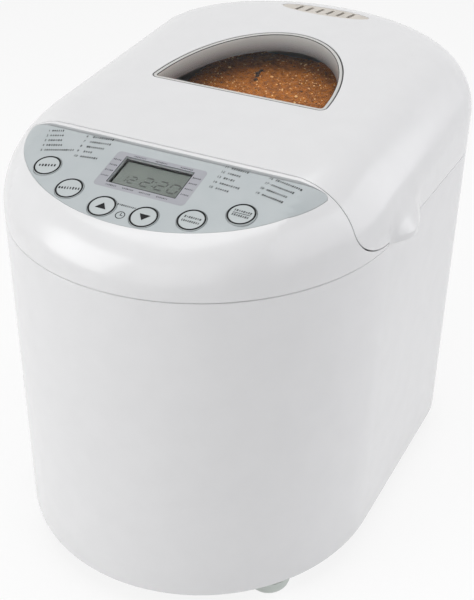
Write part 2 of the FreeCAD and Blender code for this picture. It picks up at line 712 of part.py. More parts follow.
# The window: a deep D-shaped frame from the lid's skin down to the liner, and a pane on its ledge.
deep = inner + size("sheet")
frame = dee(*window, size("seat_gap")).cut(dee(*window, size("seat_gap") + size("bezel")))
frame = frame.common(layer(size("seat_gap"), deep))
ledge_top = 2 * size("seat_gap") + size("pane_thick")
ledge = dee(*window, size("bezel") / 2).cut(dee(*window, size("seat_gap") + 2 * size("bezel")))
ledge = ledge.common(layer(ledge_top, ledge_top + size("sheet")))
node(formed("window_frame_form", frame.fuse(ledge).removeSplitter()), "window_frame")
pane = dee(*window, size("seat_gap") + size("bezel") + size("run_gap"))
pane = pane.common(layer(2 * size("seat_gap"), 2 * size("seat_gap") + size("pane_thick")))
node(formed("window_pane_form", pane.removeSplitter()), "window_pane")

# The steam vent: an oval insert in the lid with slanting slots.
insert = vent_prism(0).common(layer(size("seat_gap"), wall + size("sheet")))
slot_long = 0.6 * size("vent_depth")
slots = int(size("vent_width") / size("slot_pitch")) - 2
for place in range(slots):
    middle = V((place - (slots - 1) / 2) * size("slot_pitch"), vent_y, 0)
    slot = Part.makeBox(size("slot_width"), slot_long, 3 * seam_z,
                        V(-size("slot_width") / 2, -slot_long / 2, 0))
    slot.Placement = FreeCAD.Placement(middle, FreeCAD.Rotation(V(0, 0, 1), -20))
    insert = insert.cut(slot)
node(formed("steam_vent_form", insert.removeSplitter()), "steam_vent")

# Four feet, each with a neck that reaches up to the base plate.
corners = [
    ("front_left", "-dim.foot_spread / 2", "lay.front_y + dim.foot_front"),
    ("front_right", "dim.foot_spread / 2", "lay.front_y + dim.foot_front"),
    ("rear_left", "-dim.foot_spread / 2", "lay.back_y - dim.foot_back"),
    ("rear_right", "dim.foot_spread / 2", "lay.back_y - dim.foot_back"),
]
for corner, x, y in corners:
    foot = turned("foot_%s_body" % corner, [
        ("0", "0"),
        ("dim.foot_radius", "0"),
        ("dim.foot_radius", "dim.foot_height - dim.seat_gap"),
        ("dim.foot_radius / 2", "dim.foot_height - dim.seat_gap"),
        ("dim.foot_radius / 2", "lay.base_z"),
        ("0", "lay.base_z"),
    ])
    rounded(foot, "foot_%s_round" % corner, "dim.foot_round", lowest)
    node(put(foot, x, y), "foot_" + corner)

# The base plate closes the housing below. Its posts carry the chassis plate.
slab = formed("base_slab", plan(wall + size("seat_gap"), size("base_z"), size("base_top_z")))
post_spots = []
for hand in (-1, 1):
    for y in ("lay.motor_y - dim.post_front", "(lay.motor_y + lay.pan_y) / 2",
              "lay.pan_y + dim.post_rear"):
        post_spots.append(("%d * dim.post_spread / 2" % hand, y))
posts = []
pilots = []
base_screws = []
chassis_screws = []
for place, (x, y) in enumerate(post_spots):
    post = cylinder("post_%d" % place, "dim.post_radius", "dim.base_thick + dim.post_height")
    posts.append(put(post, x, y, "lay.base_z"))
    pilot = cylinder("pilot_%d" % place, "dim.screw_radius + dim.run_gap",
                     "2 * dim.base_thick + dim.post_height")
    pilots.append(put(pilot, x, y, "lay.base_z - dim.base_thick"))
    head = put(cylinder("base_head_%d" % place, "dim.head_radius", "dim.head_thick"), x, y,
               "lay.base_z - dim.head_thick")
    shank = put(cylinder("base_shank_%d" % place, "dim.screw_radius",
                         "dim.base_thick + dim.post_height / 3"), x, y,
                "lay.base_z")
    base_screws.append(fuse("base_screw_%d" % place, [head, shank]))
    head = put(cylinder("chassis_head_%d" % place, "dim.head_radius", "dim.head_thick"), x, y,
               "lay.chassis_top_z")
    shank = put(cylinder("chassis_shank_%d" % place, "dim.screw_radius",
                         "dim.chassis_thick + dim.post_height / 3"),
                x, y, "lay.chassis_z - dim.post_height / 3")
    chassis_screws.append(fuse("chassis_screw_%d" % place, [head, shank]))
vents = []
for place in range(7):
    vent = box("base_vent_%d" % place, "dim.motor_radius", "dim.slot_width", "3 * dim.base_thick")
    vents.append(put(vent, "-dim.motor_radius / 2", "lay.motor_y + %d * dim.slot_pitch" % (place - 3),
                     "lay.base_z - dim.base_thick"))
node(cut("base_plate_cut", fuse("base_plate_solid", [slab] + posts), pilots + vents), "base_plate")
node(group("base_screw_set", base_screws), "base_screws")

# The chassis plate on the posts carries the motor and the bearing of the drive shaft.
plate = tray("chassis_tray", "dim.chassis_width", "lay.chassis_length", "dim.chassis_thick",
             "dim.chassis_front / 2")
put(plate, "0", "lay.chassis_mid_y", "lay.chassis_z")
holes = [
    put(cylinder("chassis_shaft_hole", "dim.shaft_radius + dim.part_gap", "3 * dim.chassis_thick"),
        "0", "lay.pan_y", "lay.chassis_z - dim.chassis_thick"),
    put(cylinder("chassis_motor_hole", "2 * dim.rotor_radius", "3 * dim.chassis_thick"),
        "0", "lay.motor_y", "lay.chassis_z - dim.chassis_thick"),
]
for place, (x, y) in enumerate(post_spots):
    hole = cylinder("chassis_hole_%d" % place, "dim.screw_radius + dim.seat_gap", "3 * dim.chassis_thick")
    holes.append(put(hole, x, y, "lay.chassis_z - dim.chassis_thick"))
node(cut("chassis_cut", plate, holes), "chassis_plate")
node(group("chassis_screw_set", chassis_screws), "chassis_screws")

# The drive shaft runs in two bushes in a bearing housing between chassis and baking chamber.
housing = turned("bearing_body", [
    ("dim.bush_radius + dim.run_gap", "0"),
    ("2 * dim.bearing_radius", "0"),
    ("2 * dim.bearing_radius", "dim.bearing_height / 5"),
    ("dim.bearing_radius", "dim.bearing_height / 5"),
    ("dim.bearing_radius", "dim.bearing_height"),
    ("dim.bush_radius + dim.run_gap", "dim.bearing_height"),
])
node(put(housing, "0", "lay.pan_y", "lay.chassis_top_z"), "bearing_housing")
bushes = []
for name, z in (("low", "lay.chassis_top_z"), ("high", "lay.oven_z - dim.bush_length")):
    ring = put(cylinder("bush_%s_ring" % name, "dim.bush_radius", "dim.bush_length"), "0", "lay.pan_y", z)
    bore = put(cylinder("bush_%s_bore" % name, "dim.shaft_radius + dim.run_gap", "dim.bush_length"),
               "0", "lay.pan_y", z)
    bushes.append(cut("bush_" + name, ring, [bore]))
node(group("bush_set", bushes), "shaft_bushes")
shaft = cylinder("drive_shaft_bar", "dim.shaft_radius", "lay.coupling_z + dim.disc_thick - lay.shaft_z")
node(put(shaft, "0", "lay.pan_y", "lay.shaft_z"), "drive_shaft")

pulley = turned("drive_pulley_body", [
    ("dim.shaft_radius + dim.run_gap", "0"),
    ("2 * dim.shaft_radius", "0"),
    ("2 * dim.shaft_radius", "dim.pulley_width / 3"),
    ("dim.pulley_radius - dim.shaft_radius", "dim.pulley_width / 3"),
    ("dim.pulley_radius - dim.shaft_radius", "0"),
    ("dim.pulley_radius", "0"),
    ("dim.pulley_radius", "dim.pulley_width"),
    ("dim.pulley_radius - dim.shaft_radius", "dim.pulley_width"),
    ("dim.pulley_radius - dim.shaft_radius", "2 * dim.pulley_width / 3"),
    ("2 * dim.shaft_radius", "2 * dim.pulley_width / 3"),
    ("2 * dim.shaft_radius", "dim.pulley_width + dim.pulley_drop / 3"),
    ("dim.shaft_radius + dim.run_gap", "dim.pulley_width + dim.pulley_drop / 3"),
])
node(put(pulley, "0", "lay.pan_y", "lay.pulley_z"), "drive_pulley")

disc = put(cylinder("coupling_disc", "dim.dog_radius", "dim.disc_thick"), "0", "lay.pan_y",
           "lay.coupling_z")
dogs = [disc]
for hand in (0, 180):
    dog = box("coupling_dog_%d" % hand, "dim.wing_length / 4", "dim.wing_width * 0.7",
              "dim.disc_thick + dim.dog_height")
    turn(dog, V(0, 0, 1), hand)
    way = 1 if hand == 0 else -1
    dogs.append(put(dog, "%d * dim.wing_length / 4" % way,
                    "lay.pan_y + %d * (dim.wing_width / 2 + dim.part_gap)" % way, "lay.coupling_z"))
bore = put(cylinder("coupling_bore", "dim.shaft_radius + dim.run_gap", "2 * dim.disc_thick"), "0",
           "lay.pan_y",
           "lay.coupling_z - dim.disc_thick / 2")
node(cut("coupling_cut", fuse("coupling_solid", dogs), [bore]), "drive_coupling")

# The motor hangs its shaft through the chassis plate and stands on four rubber grommets.
stator = turned("motor_turned", [
    ("dim.rotor_radius + dim.run_gap", "0"),
    ("0.75 * dim.motor_radius", "0"),
    ("0.75 * dim.motor_radius", "0.12 * dim.motor_height"),
    ("dim.motor_radius", "0.12 * dim.motor_height"),
    ("dim.motor_radius", "0.8 * dim.motor_height"),
    ("0.75 * dim.motor_radius", "0.8 * dim.motor_height"),
    ("0.75 * dim.motor_radius", "dim.motor_height"),
    ("dim.rotor_radius + dim.run_gap", "dim.motor_height"),
])
put(stator, "0", "lay.motor_y", "lay.motor_z")
plate = tray("motor_tray", "dim.motor_plate", "dim.motor_plate", "dim.chassis_thick",
             "dim.grommet_radius")
put(plate, "0", "lay.motor_y", "lay.motor_z")
bore = put(cylinder("motor_bore", "dim.rotor_radius + dim.run_gap", "dim.motor_height"), "0",
           "lay.motor_y",
           "lay.motor_z - dim.motor_height / 2")
node(cut("motor_cut", fuse("motor_solid", [stator, plate]), [bore]), "motor_body")
grommets = []
for place, (hand, way) in enumerate([(-1, -1), (1, -1), (1, 1), (-1, 1)]):
    grommet = cylinder("grommet_%d" % place, "dim.grommet_radius", "dim.grommet_height")
    grommets.append(put(grommet, "%d * (dim.motor_plate / 2 - dim.grommet_radius)" % hand,
                        "lay.motor_y + %d * (dim.motor_plate / 2 - dim.grommet_radius)" % way,
                        "lay.chassis_top_z"))
node(group("grommet_set", grommets), "motor_grommets")
rotor = cylinder("motor_shaft_bar", "dim.rotor_radius",
                 "lay.motor_top_z + dim.fan_height + 2 * dim.part_gap - lay.shaft_z")
node(put(rotor, "0", "lay.motor_y", "lay.shaft_z"), "motor_shaft")
pinion = turned("motor_pulley_body", [
    ("dim.rotor_radius + dim.run_gap", "0"),
    ("dim.pinion_radius + dim.belt_thick", "0"),
    ("dim.pinion_radius + dim.belt_thick", "dim.sheet"),
    ("dim.pinion_radius", "dim.sheet"),
    ("dim.pinion_radius", "dim.pulley_width - dim.sheet"),
    ("dim.pinion_radius + dim.belt_thick", "dim.pulley_width - dim.sheet"),
    ("dim.pinion_radius + dim.belt_thick", "dim.pulley_width"),
    ("dim.rotor_radius + dim.run_gap", "dim.pulley_width"),
])
node(put(pinion, "0", "lay.motor_y", "lay.pulley_z"), "motor_pulley")
blades = [cylinder("fan_hub", "2.5 * dim.rotor_radius", "dim.fan_height"),
          cylinder("fan_disc", "dim.fan_radius", "dim.sheet")]
for place in range(8):
    blade = box("fan_blade_%d" % place, "dim.fan_radius - dim.sheet", "dim.sheet", "dim.fan_height")
    blades.append(turn(blade, V(0, 0, 1), 45 * place))
for piece in blades[:2]:
    put(piece)
wheel = put(fuse("fan_wheel", blades), "0", "lay.motor_y", "lay.motor_top_z + 2 * dim.part_gap")
bore = put(cylinder("fan_bore", "dim.rotor_radius + dim.run_gap", "3 * dim.fan_height"),
           "0", "lay.motor_y", "lay.motor_top_z - dim.fan_height")
node(cut("fan_cut", wheel, [bore]), "motor_fan")


def belt_face(grow):
    """The loop round both pulleys, as a flat face."""
    big = size("pulley_radius") + grow
    small = size("pinion_radius") + grow
    rear = V(0, size("pan_y"), 0)
    fore = V(0, size("motor_y"), 0)
    lean = (big - small) / (rear.y - fore.y)
    right = V(math.sqrt(1 - lean * lean), -lean, 0)
    left = V(-right.x, right.y, 0)
    edges = [
        Part.LineSegment(fore + right * small, rear + right * big).toShape(),
        Part.Arc(rear + right * big, rear + V(0, big, 0), rear + left * big).toShape(),
        Part.LineSegment(rear + left * big, fore + left * small).toShape(),
        Part.Arc(fore + left * small, fore - V(0, small, 0), fore + right * small).toShape(),
    ]
    return Part.Face(Part.Wire(edges))


loop = belt_face(gap + size("belt_thick")).cut(belt_face(gap))
loop = loop.Faces[0].extrude(V(0, 0, size("belt_width")))
belt = formed("drive_belt_form", loop)
node(put(belt, "0", "0", "lay.pulley_z + (dim.pulley_width - dim.belt_width) / 2"), "drive_belt")

# The power board stands in a slotted bracket on the chassis plate.
card_y = "lay.motor_y - dim.card_length * 0.25"
card = box("power_card", "dim.board_thick", "dim.card_length", "dim.card_height")
node(put(card, "dim.card_offset", card_y, "lay.chassis_top_z + dim.board_thick"), "power_board")
rail = put(box("bracket_rail", "5 * dim.board_thick", "dim.card_length", "5 * dim.board_thick"),
           "dim.card_offset - 2 * dim.board_thick", card_y, "lay.chassis_top_z")
slot = put(box("bracket_slot", "dim.board_thick + 2 * dim.run_gap", "2 * dim.card_length",
               "5 * dim.board_thick"),
           "dim.card_offset - dim.run_gap", card_y + " - dim.card_length / 2",
           "lay.chassis_top_z + dim.board_thick - dim.run_gap")
node(cut("bracket_cut", rail, [slot]), "board_bracket")
coil = box("transformer_block", "dim.motor_plate / 4", "dim.card_length / 2", "dim.card_height / 2.5")
node(put(coil, "dim.card_offset - dim.motor_plate / 4 - dim.run_gap", card_y + " + dim.card_length / 4",
         "lay.chassis_top_z + dim.card_height / 3"), "transformer")

# The deck closes the housing round the baking chamber, which hangs in it by its rim.
deck = formed("deck_slab", plan(wall + size("seat_gap"), size("deck_z"), size("deck_top_z")).common(
    room(size("deck_z"), size("deck_top_z"), size("cut_y") - size("deck_front"))))
grown = "2 * dim.sheet + 2 * dim.seat_gap"
opening = tray("deck_opening", "dim.oven_width + " + grown, "dim.oven_depth + " + grown,
               "3 * dim.deck_thick",
               "dim.oven_corner + dim.sheet + dim.seat_gap")
put(opening, "0", "lay.pan_y", "lay.deck_z - dim.deck_thick")
node(cut("deck_cut", deck, [opening]), "oven_deck")
outer = tray("oven_outer", "dim.oven_width + 2 * dim.sheet", "dim.oven_depth + 2 * dim.sheet",
             "lay.deck_top_z - lay.oven_z + dim.sheet", "dim.oven_corner + dim.sheet")
rim = tray("oven_rim_plate", "dim.oven_width + 2 * dim.oven_rim", "dim.oven_depth + 2 * dim.oven_rim",
           "dim.sheet",
           "dim.oven_corner + dim.oven_rim")
hole = tray("oven_hollow", "dim.oven_width", "dim.oven_depth", "lay.seam_z - lay.oven_floor_z",
            "dim.oven_corner")
put(outer, "0", "lay.pan_y", "lay.oven_z")
put(rim, "0", "lay.pan_y", "lay.deck_top_z")
put(hole, "0", "lay.pan_y", "lay.oven_floor_z")
openings = [hole, put(cylinder("oven_shaft_hole", "2 * dim.shaft_radius", "4 * dim.sheet"),
                      "0", "lay.pan_y", "lay.oven_z - dim.sheet")]
bushes = []
for hand in (-1, 1):
    name = "left" if hand < 0 else "right"
    x = "%d * dim.lead_spread / 2" % hand
    hole = turn(cylinder("lead_hole_" + name, "1.6 * dim.rod_radius + dim.seat_gap",
                         "2 * dim.bush_reach"), V(1, 0, 0), -90)
    openings.append(put(hole, x, "lay.oven_front_y - dim.bush_reach", "lay.rod_z"))
    bush = turn(cylinder("lead_bush_" + name, "1.6 * dim.rod_radius", "2 * dim.bush_reach"), V(1, 0, 0),
                -90)
    bore = turn(cylinder("lead_bore_" + name, "dim.rod_radius + dim.seat_gap", "4 * dim.bush_reach"),
                V(1, 0, 0), -90)
    put(bush, x, "lay.oven_front_y - dim.sheet - 1.6 * dim.bush_reach", "lay.rod_z")
    put(bore, x, "lay.oven_front_y - 2 * dim.bush_reach", "lay.rod_z")
    bushes.append(cut("lead_bush_cut_" + name, bush, [bore]))
probe_z = "lay.rod_z + dim.card_height"
hole = turn(cylinder("probe_hole", "dim.probe_radius + dim.seat_gap", "4 * dim.probe_in"), V(1, 0, 0),
            -90)
openings.append(put(hole, "dim.probe_aside", "lay.oven_front_y - 2 * dim.probe_in", probe_z))
node(cut("oven_cut", fuse("oven_solid", [outer, rim]), openings), "oven_chamber")
node(group("lead_bush_set", bushes), "heater_bushes")
probe = turn(cylinder("probe_bar", "dim.probe_radius", "3 * dim.probe_in"), V(1, 0, 0), -90)
collar = turn(cylinder("probe_collar", "2 * dim.probe_radius", "3 * dim.sheet"), V(1, 0, 0), -90)
put(probe, "dim.probe_aside", "lay.oven_front_y - 2 * dim.probe_in", probe_z)
put(collar, "dim.probe_aside", "lay.oven_front_y - 4 * dim.sheet - dim.run_gap", probe_z)
node(fuse("probe_solid", [probe, collar]), "temperature_sensor")


def wire_path(points, bends):
    """A path of straight runs with a tangent bend at every inner point."""
    edges = []
    last = points[0]
    for before, here, after, bend in zip(points, points[1:], points[2:], bends):
        back = (before - here).normalize()
        ahead = (after - here).normalize()
        half_angle = back.getAngle(ahead) / 2
        run = bend / math.tan(half_angle)
        first = here + back * run
        second = here + ahead * run
        middle_way = (back + ahead).normalize()
        middle = here + middle_way * (bend / math.sin(half_angle) - bend)
        edges.append(Part.LineSegment(last, first).toShape())
        edges.append(Part.Arc(first, middle, second).toShape())
        last = second
    edges.append(Part.LineSegment(last, points[-1]).toShape())
    return Part.Wire(edges)


def bent_rod(points, bends, radius):
    """A round rod along a path with bends."""
    path = wire_path(points, bends)
    ahead = points[1] - points[0]
    ring = Part.Wire([Part.makeCircle(radius, points[0], ahead)])
    return path.makePipeShell([ring], True, False)


# The tube heater runs round the foot of the chamber and leaves through its front wall.
rod_x = size("oven_width") / 2 - size("rod_inset")
rod_front = size("oven_front_y") + size("rod_inset")
rod_back = size("oven_front_y") + size("oven_depth") - size("rod_inset")
lead_x = size("lead_spread") / 2
lead_end = size("oven_front_y") - 3 * size("bush_reach")
rod_z = size("rod_z")
rod_points = [V(lead_x, lead_end, rod_z), V(lead_x, rod_front, rod_z), V(rod_x, rod_front, rod_z),
              V(rod_x, rod_back, rod_z), V(-rod_x, rod_back, rod_z), V(-rod_x, rod_front, rod_z),
              V(-lead_x, rod_front, rod_z), V(-lead_x, lead_end, rod_z)]
big = size("rod_bend")
small = 2 * size("rod_radius")
rod = bent_rod(rod_points, [small, big, big, big, big, small], size("rod_radius"))
node(formed("heater_form", rod), "heating_element")
clips = []
clip_size = ("dim.rod_inset + dim.rod_radius", "dim.clip_width", "3.2 * dim.rod_radius")
for hand in (-1, 1):
    name = "left" if hand < 0 else "right"
    x = "dim.oven_width / 2 - dim.rod_inset - dim.rod_radius" if hand > 0 else "-dim.oven_width / 2"
    block = put(box("clip_block_" + name, *clip_size), x, "lay.pan_y - dim.clip_width / 2",
                "lay.rod_z - 1.6 * dim.rod_radius")
    groove = turn(cylinder("clip_groove_" + name, "dim.rod_radius + dim.run_gap", "2 * dim.clip_width"),
                  V(1, 0, 0), -90)
    put(groove, "%d * (dim.oven_width / 2 - dim.rod_inset)" % hand, "lay.pan_y - dim.clip_width",
        "lay.rod_z")
    clips.append(cut("clip_" + name, block, [groove]))
node(group("clip_set", clips), "heater_clips")

# The pan seat on the chamber floor holds the foot ring of the pan; two clips hook over it.
seat = turned("pan_seat_body", [
    ("dim.dog_radius + dim.skirt_wall", "0"),
    ("dim.seat_radius", "0"),
    ("dim.seat_radius", "dim.seat_height"),
    ("dim.skirt_radius + 2 * dim.seat_gap", "dim.seat_height"),
    ("dim.skirt_radius + 2 * dim.seat_gap", "dim.seat_floor"),
    ("dim.dog_radius + dim.skirt_wall", "dim.seat_floor"),
])
node(put(seat, "0", "lay.pan_y", "lay.oven_floor_z"), "pan_seat")
clips = []
for hand in (-1, 1):
    name = "left" if hand < 0 else "right"
    x = "dim.seat_radius" if hand > 0 else "-dim.seat_radius - dim.sheet"
    leg = put(box("seat_leg_" + name, "dim.sheet", "dim.clip_width", "dim.seat_height + dim.sheet"),
              x, "lay.pan_y - dim.clip_width / 2", "lay.oven_floor_z")
    x = "dim.seat_radius - 4 * dim.sheet" if hand > 0 else "-dim.seat_radius - dim.sheet"
    hook = put(box("seat_hook_" + name, "5 * dim.sheet", "dim.clip_width", "dim.sheet"),
               x, "lay.pan_y - dim.clip_width / 2", "lay.oven_floor_z + dim.seat_height")
    clips.append(fuse("seat_clip_" + name, [leg, hook]))
node(group("seat_clip_set", clips), "seat_clips")

# The pan: a deep tray with a rim, a foot ring and a bush for its shaft.
outer = tray("pan_outer", "dim.pan_width", "dim.pan_depth", "dim.pan_height", "dim.pan_corner",
             "dim.pan_round")
rim = tray("pan_rim_plate", "dim.pan_width + 2 * dim.pan_rim", "dim.pan_depth + 2 * dim.pan_rim",
           "dim.pan_wall",
           "dim.pan_corner + dim.pan_rim")
hole = tray("pan_hollow", "dim.pan_width - 2 * dim.pan_wall", "dim.pan_depth - 2 * dim.pan_wall",
            "dim.pan_height",
            "dim.pan_corner - dim.pan_wall", "dim.pan_round - dim.pan_wall")
put(outer, "0", "lay.pan_y", "lay.pan_z")
put(rim, "0", "lay.pan_y", "lay.pan_top_z - dim.pan_wall")
put(hole, "0", "lay.pan_y", "lay.pan_floor_z")
bore = put(cylinder("pan_bore", "dim.bush_sleeve + dim.run_gap", "4 * dim.pan_wall"), "0", "lay.pan_y",
           "lay.pan_z - dim.pan_wall")
node(cut("pan_cut", fuse("pan_solid", [outer, rim]), [hole, bore]), "bread_pan")
ring = turned("pan_foot_body", [
    ("dim.skirt_radius - dim.skirt_wall", "0"),
    ("dim.skirt_radius", "0"),
    ("dim.skirt_radius", "dim.skirt_height"),
    ("dim.skirt_radius - dim.skirt_wall", "dim.skirt_height"),
])
node(put(ring, "0", "lay.pan_y", "lay.pan_z - dim.skirt_height"), "pan_foot_ring")
bush = turned("pan_bush_body", [
    ("dim.spindle_radius + dim.run_gap", "-dim.bush_drop"),
    ("dim.bush_flange", "-dim.bush_drop"),
    ("dim.bush_flange", "0"),
    ("dim.bush_sleeve", "0"),
    ("dim.bush_sleeve", "dim.pan_wall + dim.bush_drop / 2"),
    ("dim.spindle_radius + dim.run_gap", "dim.pan_wall + dim.bush_drop / 2"),
])
node(put(bush, "0", "lay.pan_y", "lay.pan_z"), "pan_bush")
ears = []
for hand in (-1, 1):
    name = "left" if hand < 0 else "right"
    x = "dim.pan_width / 2" if hand > 0 else "-lay.ear_x"
    plate = put(box("ear_plate_" + name, "dim.pan_rim", "dim.clip_width",
                    "2 * dim.bail_drop - dim.pan_wall"),
                x, "lay.pan_y - dim.clip_width / 2", "lay.pan_top_z - 2 * dim.bail_drop")
    hole = turn(cylinder("ear_hole_" + name, "dim.bail_radius + dim.run_gap", "2 * dim.pan_rim"),
                V(0, 1, 0), 90)
    put(hole, x + " - dim.pan_rim / 2", "lay.pan_y", "lay.bail_z")
    ears.append(cut("ear_" + name, plate, [hole]))
node(group("ear_set", ears), "pan_ears")

# The wire handle of the pan hangs down in front of it, with its ends in the two ears.
hang = math.radians(size("bail_hang"))
pivot = V(0, size("pan_y"), size("bail_z"))
reach = V(0, -math.cos(hang), -math.sin(hang)) * size("bail_reach")
end_x = V(size("pan_width") / 2 + size("seat_gap"), 0, 0)
arm = V(size("arm_x"), 0, 0)
bail_points = [pivot + end_x, pivot + arm, pivot + arm + reach, pivot - arm + reach, pivot - arm,
               pivot - end_x]
small = 1.25 * size("bail_radius")
bail = bent_rod(bail_points, [small, size("bail_bend"), size("bail_bend"), small], size("bail_radius"))
node(formed("pan_handle_form", bail), "pan_handle")

# The pan shaft carries the kneading blade inside the pan and a wing below it.
flat_x = "0.6 * dim.spindle_radius"
bar = cylinder("pan_shaft_bar", "dim.spindle_radius", "lay.blade_z + 0.8 * dim.blade_height - lay.wing_z")
put(bar, "0", "lay.pan_y", "lay.wing_z")
flat = put(box("pan_shaft_flat", "dim.spindle_radius", "4 * dim.spindle_radius", "dim.blade_height"),
           flat_x, "lay.pan_y - 2 * dim.spindle_radius", "lay.blade_z")
node(cut("pan_shaft_cut", bar, [flat]), "pan_shaft")
hub = put(cylinder("wing_hub", "1.8 * dim.spindle_radius", "dim.dog_height - dim.part_gap"), "0",
          "lay.pan_y", "lay.wing_z")
wing = put(box("wing_bar", "dim.wing_length", "dim.wing_width", "dim.dog_height - dim.part_gap"),
           "-dim.wing_length / 2", "lay.pan_y - dim.wing_width / 2", "lay.wing_z")
bore = put(cylinder("wing_bore", "dim.spindle_radius + dim.run_gap", "2 * dim.dog_height"), "0",
           "lay.pan_y",
           "lay.wing_z - dim.dog_height / 2")
node(cut("wing_cut", fuse("wing_solid", [hub, wing]), [bore]), "pan_wing")
hub = put(cylinder("blade_hub", "2.2 * dim.spindle_radius", "dim.blade_height"), "0", "lay.pan_y",
          "lay.blade_z")
fin = doc.addObject("PartDesign::Body", "blade_fin")
sketch = outline(fin, "XZ_Plane", [
    ("0", "0"),
    ("dim.blade_length", "0"),
    ("dim.blade_length", "0.3 * dim.blade_crown"),
    ("0.5 * dim.blade_length", "dim.blade_crown"),
    ("0", "0.8 * dim.blade_crown"),
])
pad = fin.newObject("PartDesign::Pad", "blade_fin_pad")
pad.Profile = sketch
pad.setExpression("Length", "dim.blade_thick")
pad.Midplane = True
doc.recompute()
put(fin, "0", "lay.pan_y", "lay.blade_z")
hole = put(cylinder("blade_bore", "dim.spindle_radius + dim.run_gap",
                    "0.8 * dim.blade_height + dim.part_gap"),
           "0", "lay.pan_y", "lay.blade_z")
key = put(box("blade_key", "dim.spindle_radius", "4 * dim.spindle_radius", "dim.blade_height"),
          flat_x + " + dim.run_gap", "lay.pan_y - 2 * dim.spindle_radius", "lay.blade_z")
node(cut("blade_cut", fuse("blade_solid", [hub, fin]), [cut("blade_hole", hole, [key])]),
     "kneading_blade")

# The cord gland sits low in the back of the housing.
gland = turned("cord_gland_body", [
    ("dim.gland_bore", "-3 * dim.wall"),
    ("dim.gland_radius", "-3 * dim.wall"),
    ("dim.gland_radius", "dim.run_gap"),
    ("1.6 * dim.gland_radius", "dim.run_gap"),
    ("1.6 * dim.gland_radius", "dim.wall"),
    ("dim.gland_radius", "2 * dim.wall"),
    ("dim.gland_bore", "2 * dim.wall"),
])
turn(gland, V(1, 0, 0), -90)
node(put(gland, "0", "lay.back_y", "dim.foot_height + dim.gland_rise"), "cord_gland")

# The display and the control board hang under the console on four spacers.
lens = box("display_lens", "dim.display_width", "dim.display_depth", "dim.lens_thick")
node(on_panel(lens, "-dim.display_width / 2", "-dim.display_back - dim.display_depth / 2",
              "-dim.lens_thick - dim.run_gap"), "display_window")
module = box("display_block", "dim.display_width + 2 * dim.module_rim",
             "dim.display_depth + 2 * dim.module_rim",
             "dim.module_thick")
node(on_panel(module, "-dim.display_width / 2 - dim.module_rim",
              "-dim.display_back - dim.display_depth / 2 - dim.module_rim",
              "-lay.module_n - dim.module_thick"), "display_module")
far = "(dim.key_arc * sin(2.5 * dim.key_step) + dim.key_radius)"
fore = "(dim.key_centre - dim.key_arc - dim.switch_side)"
near_y = "(-dim.display_back + dim.display_depth / 2 + dim.module_rim)"
side_y = "(dim.key_centre - dim.key_arc * cos(2.5 * dim.key_step) - dim.switch_side / 2)"
board = padded("control_board_body", [
    ("-" + far, near_y),
    (far, near_y),
    (far, side_y),
    ("dim.display_width / 2", fore),
    ("-dim.display_width / 2", fore),
    ("-" + far, side_y),
], "dim.board_thick")
node(on_panel(board, "0", "0", "-lay.board_n - dim.board_thick"), "control_board")
spacers = []
for hand in (-1, 1):
    for place, (x, y) in enumerate([(far + " - dim.switch_side", near_y + " - dim.switch_side"),
                                    ("dim.display_width", "-dim.display_back - dim.module_rim")]):
        name = "spacer_%d_%s" % (place, "left" if hand < 0 else "right")
        spacer = cylinder(name, "dim.probe_radius", "lay.board_n - dim.wall")
        spacers.append(on_panel(spacer, "%d * (%s)" % (hand, x), y, "-lay.board_n"))
node(group("spacer_set", spacers), "board_spacers")
switches = []
for name, angle in zip(key_names, key_angles):
    x = "dim.key_arc * sin(%s * dim.key_step)" % (angle / size("key_step"))
    y = "dim.key_centre - dim.key_arc * cos(%s * dim.key_step)" % (angle / size("key_step"))
    top = "-dim.wall - dim.key_sink"
    switch = box("switch_" + name, "dim.switch_side", "dim.switch_side", "dim.switch_height")
    switches.append(on_panel(switch, x + " - dim.switch_side / 2", y + " - dim.switch_side / 2",
                             "-lay.board_n"))
    cap = turned(name + "_body", [
        ("0", "dim.key_proud"),
        ("dim.key_radius", "dim.key_proud"),
        ("dim.key_radius", top),
        ("dim.key_radius + dim.key_flange", top),
        ("dim.key_radius + dim.key_flange", top + " - dim.sheet"),
        ("dim.switch_side / 3", top + " - dim.sheet"),
        ("dim.switch_side / 3", "-lay.board_n + dim.switch_height + dim.key_travel + 2 * dim.run_gap"),
        ("0", "-lay.board_n + dim.switch_height + dim.key_travel + 2 * dim.run_gap"),
    ])
    node(on_panel(cap, x, y, "0"), name)
node(group("switch_set", switches), "key_switches")

# Every piece is checked before it is written to its own file.
doc.recompute()
for feature in doc.Objects:
    if "Invalid" in feature.State or "Error" in feature.State:
        raise RuntimeError("not built: " + feature.Label)
os.makedirs("parts", exist_ok=True)
for piece in nodes:
    if piece.Shape.isNull() or not piece.Shape.isValid() or piece.Shape.Volume <= 0:
        raise RuntimeError("bad shape: " + piece.Label)
    piece.Shape.exportStep("parts/" + piece.Label + ".step")
    print(piece.Label, len(piece.Shape.Solids), round(piece.Shape.Volume))
print(len(nodes), "pieces")
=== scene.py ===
# %% [markdown]
# # Dressing a bread machine
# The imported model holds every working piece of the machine, from the lid to the drive belt.
# This lesson puts a finish on each of them and builds smoother versions of the mouldings that
# catch the light. Lengths are in millimetres in the text and become metres in one place.

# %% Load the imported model
import json
import math

import bmesh
import bpy
import numpy as np
from mathutils import Matrix, Vector


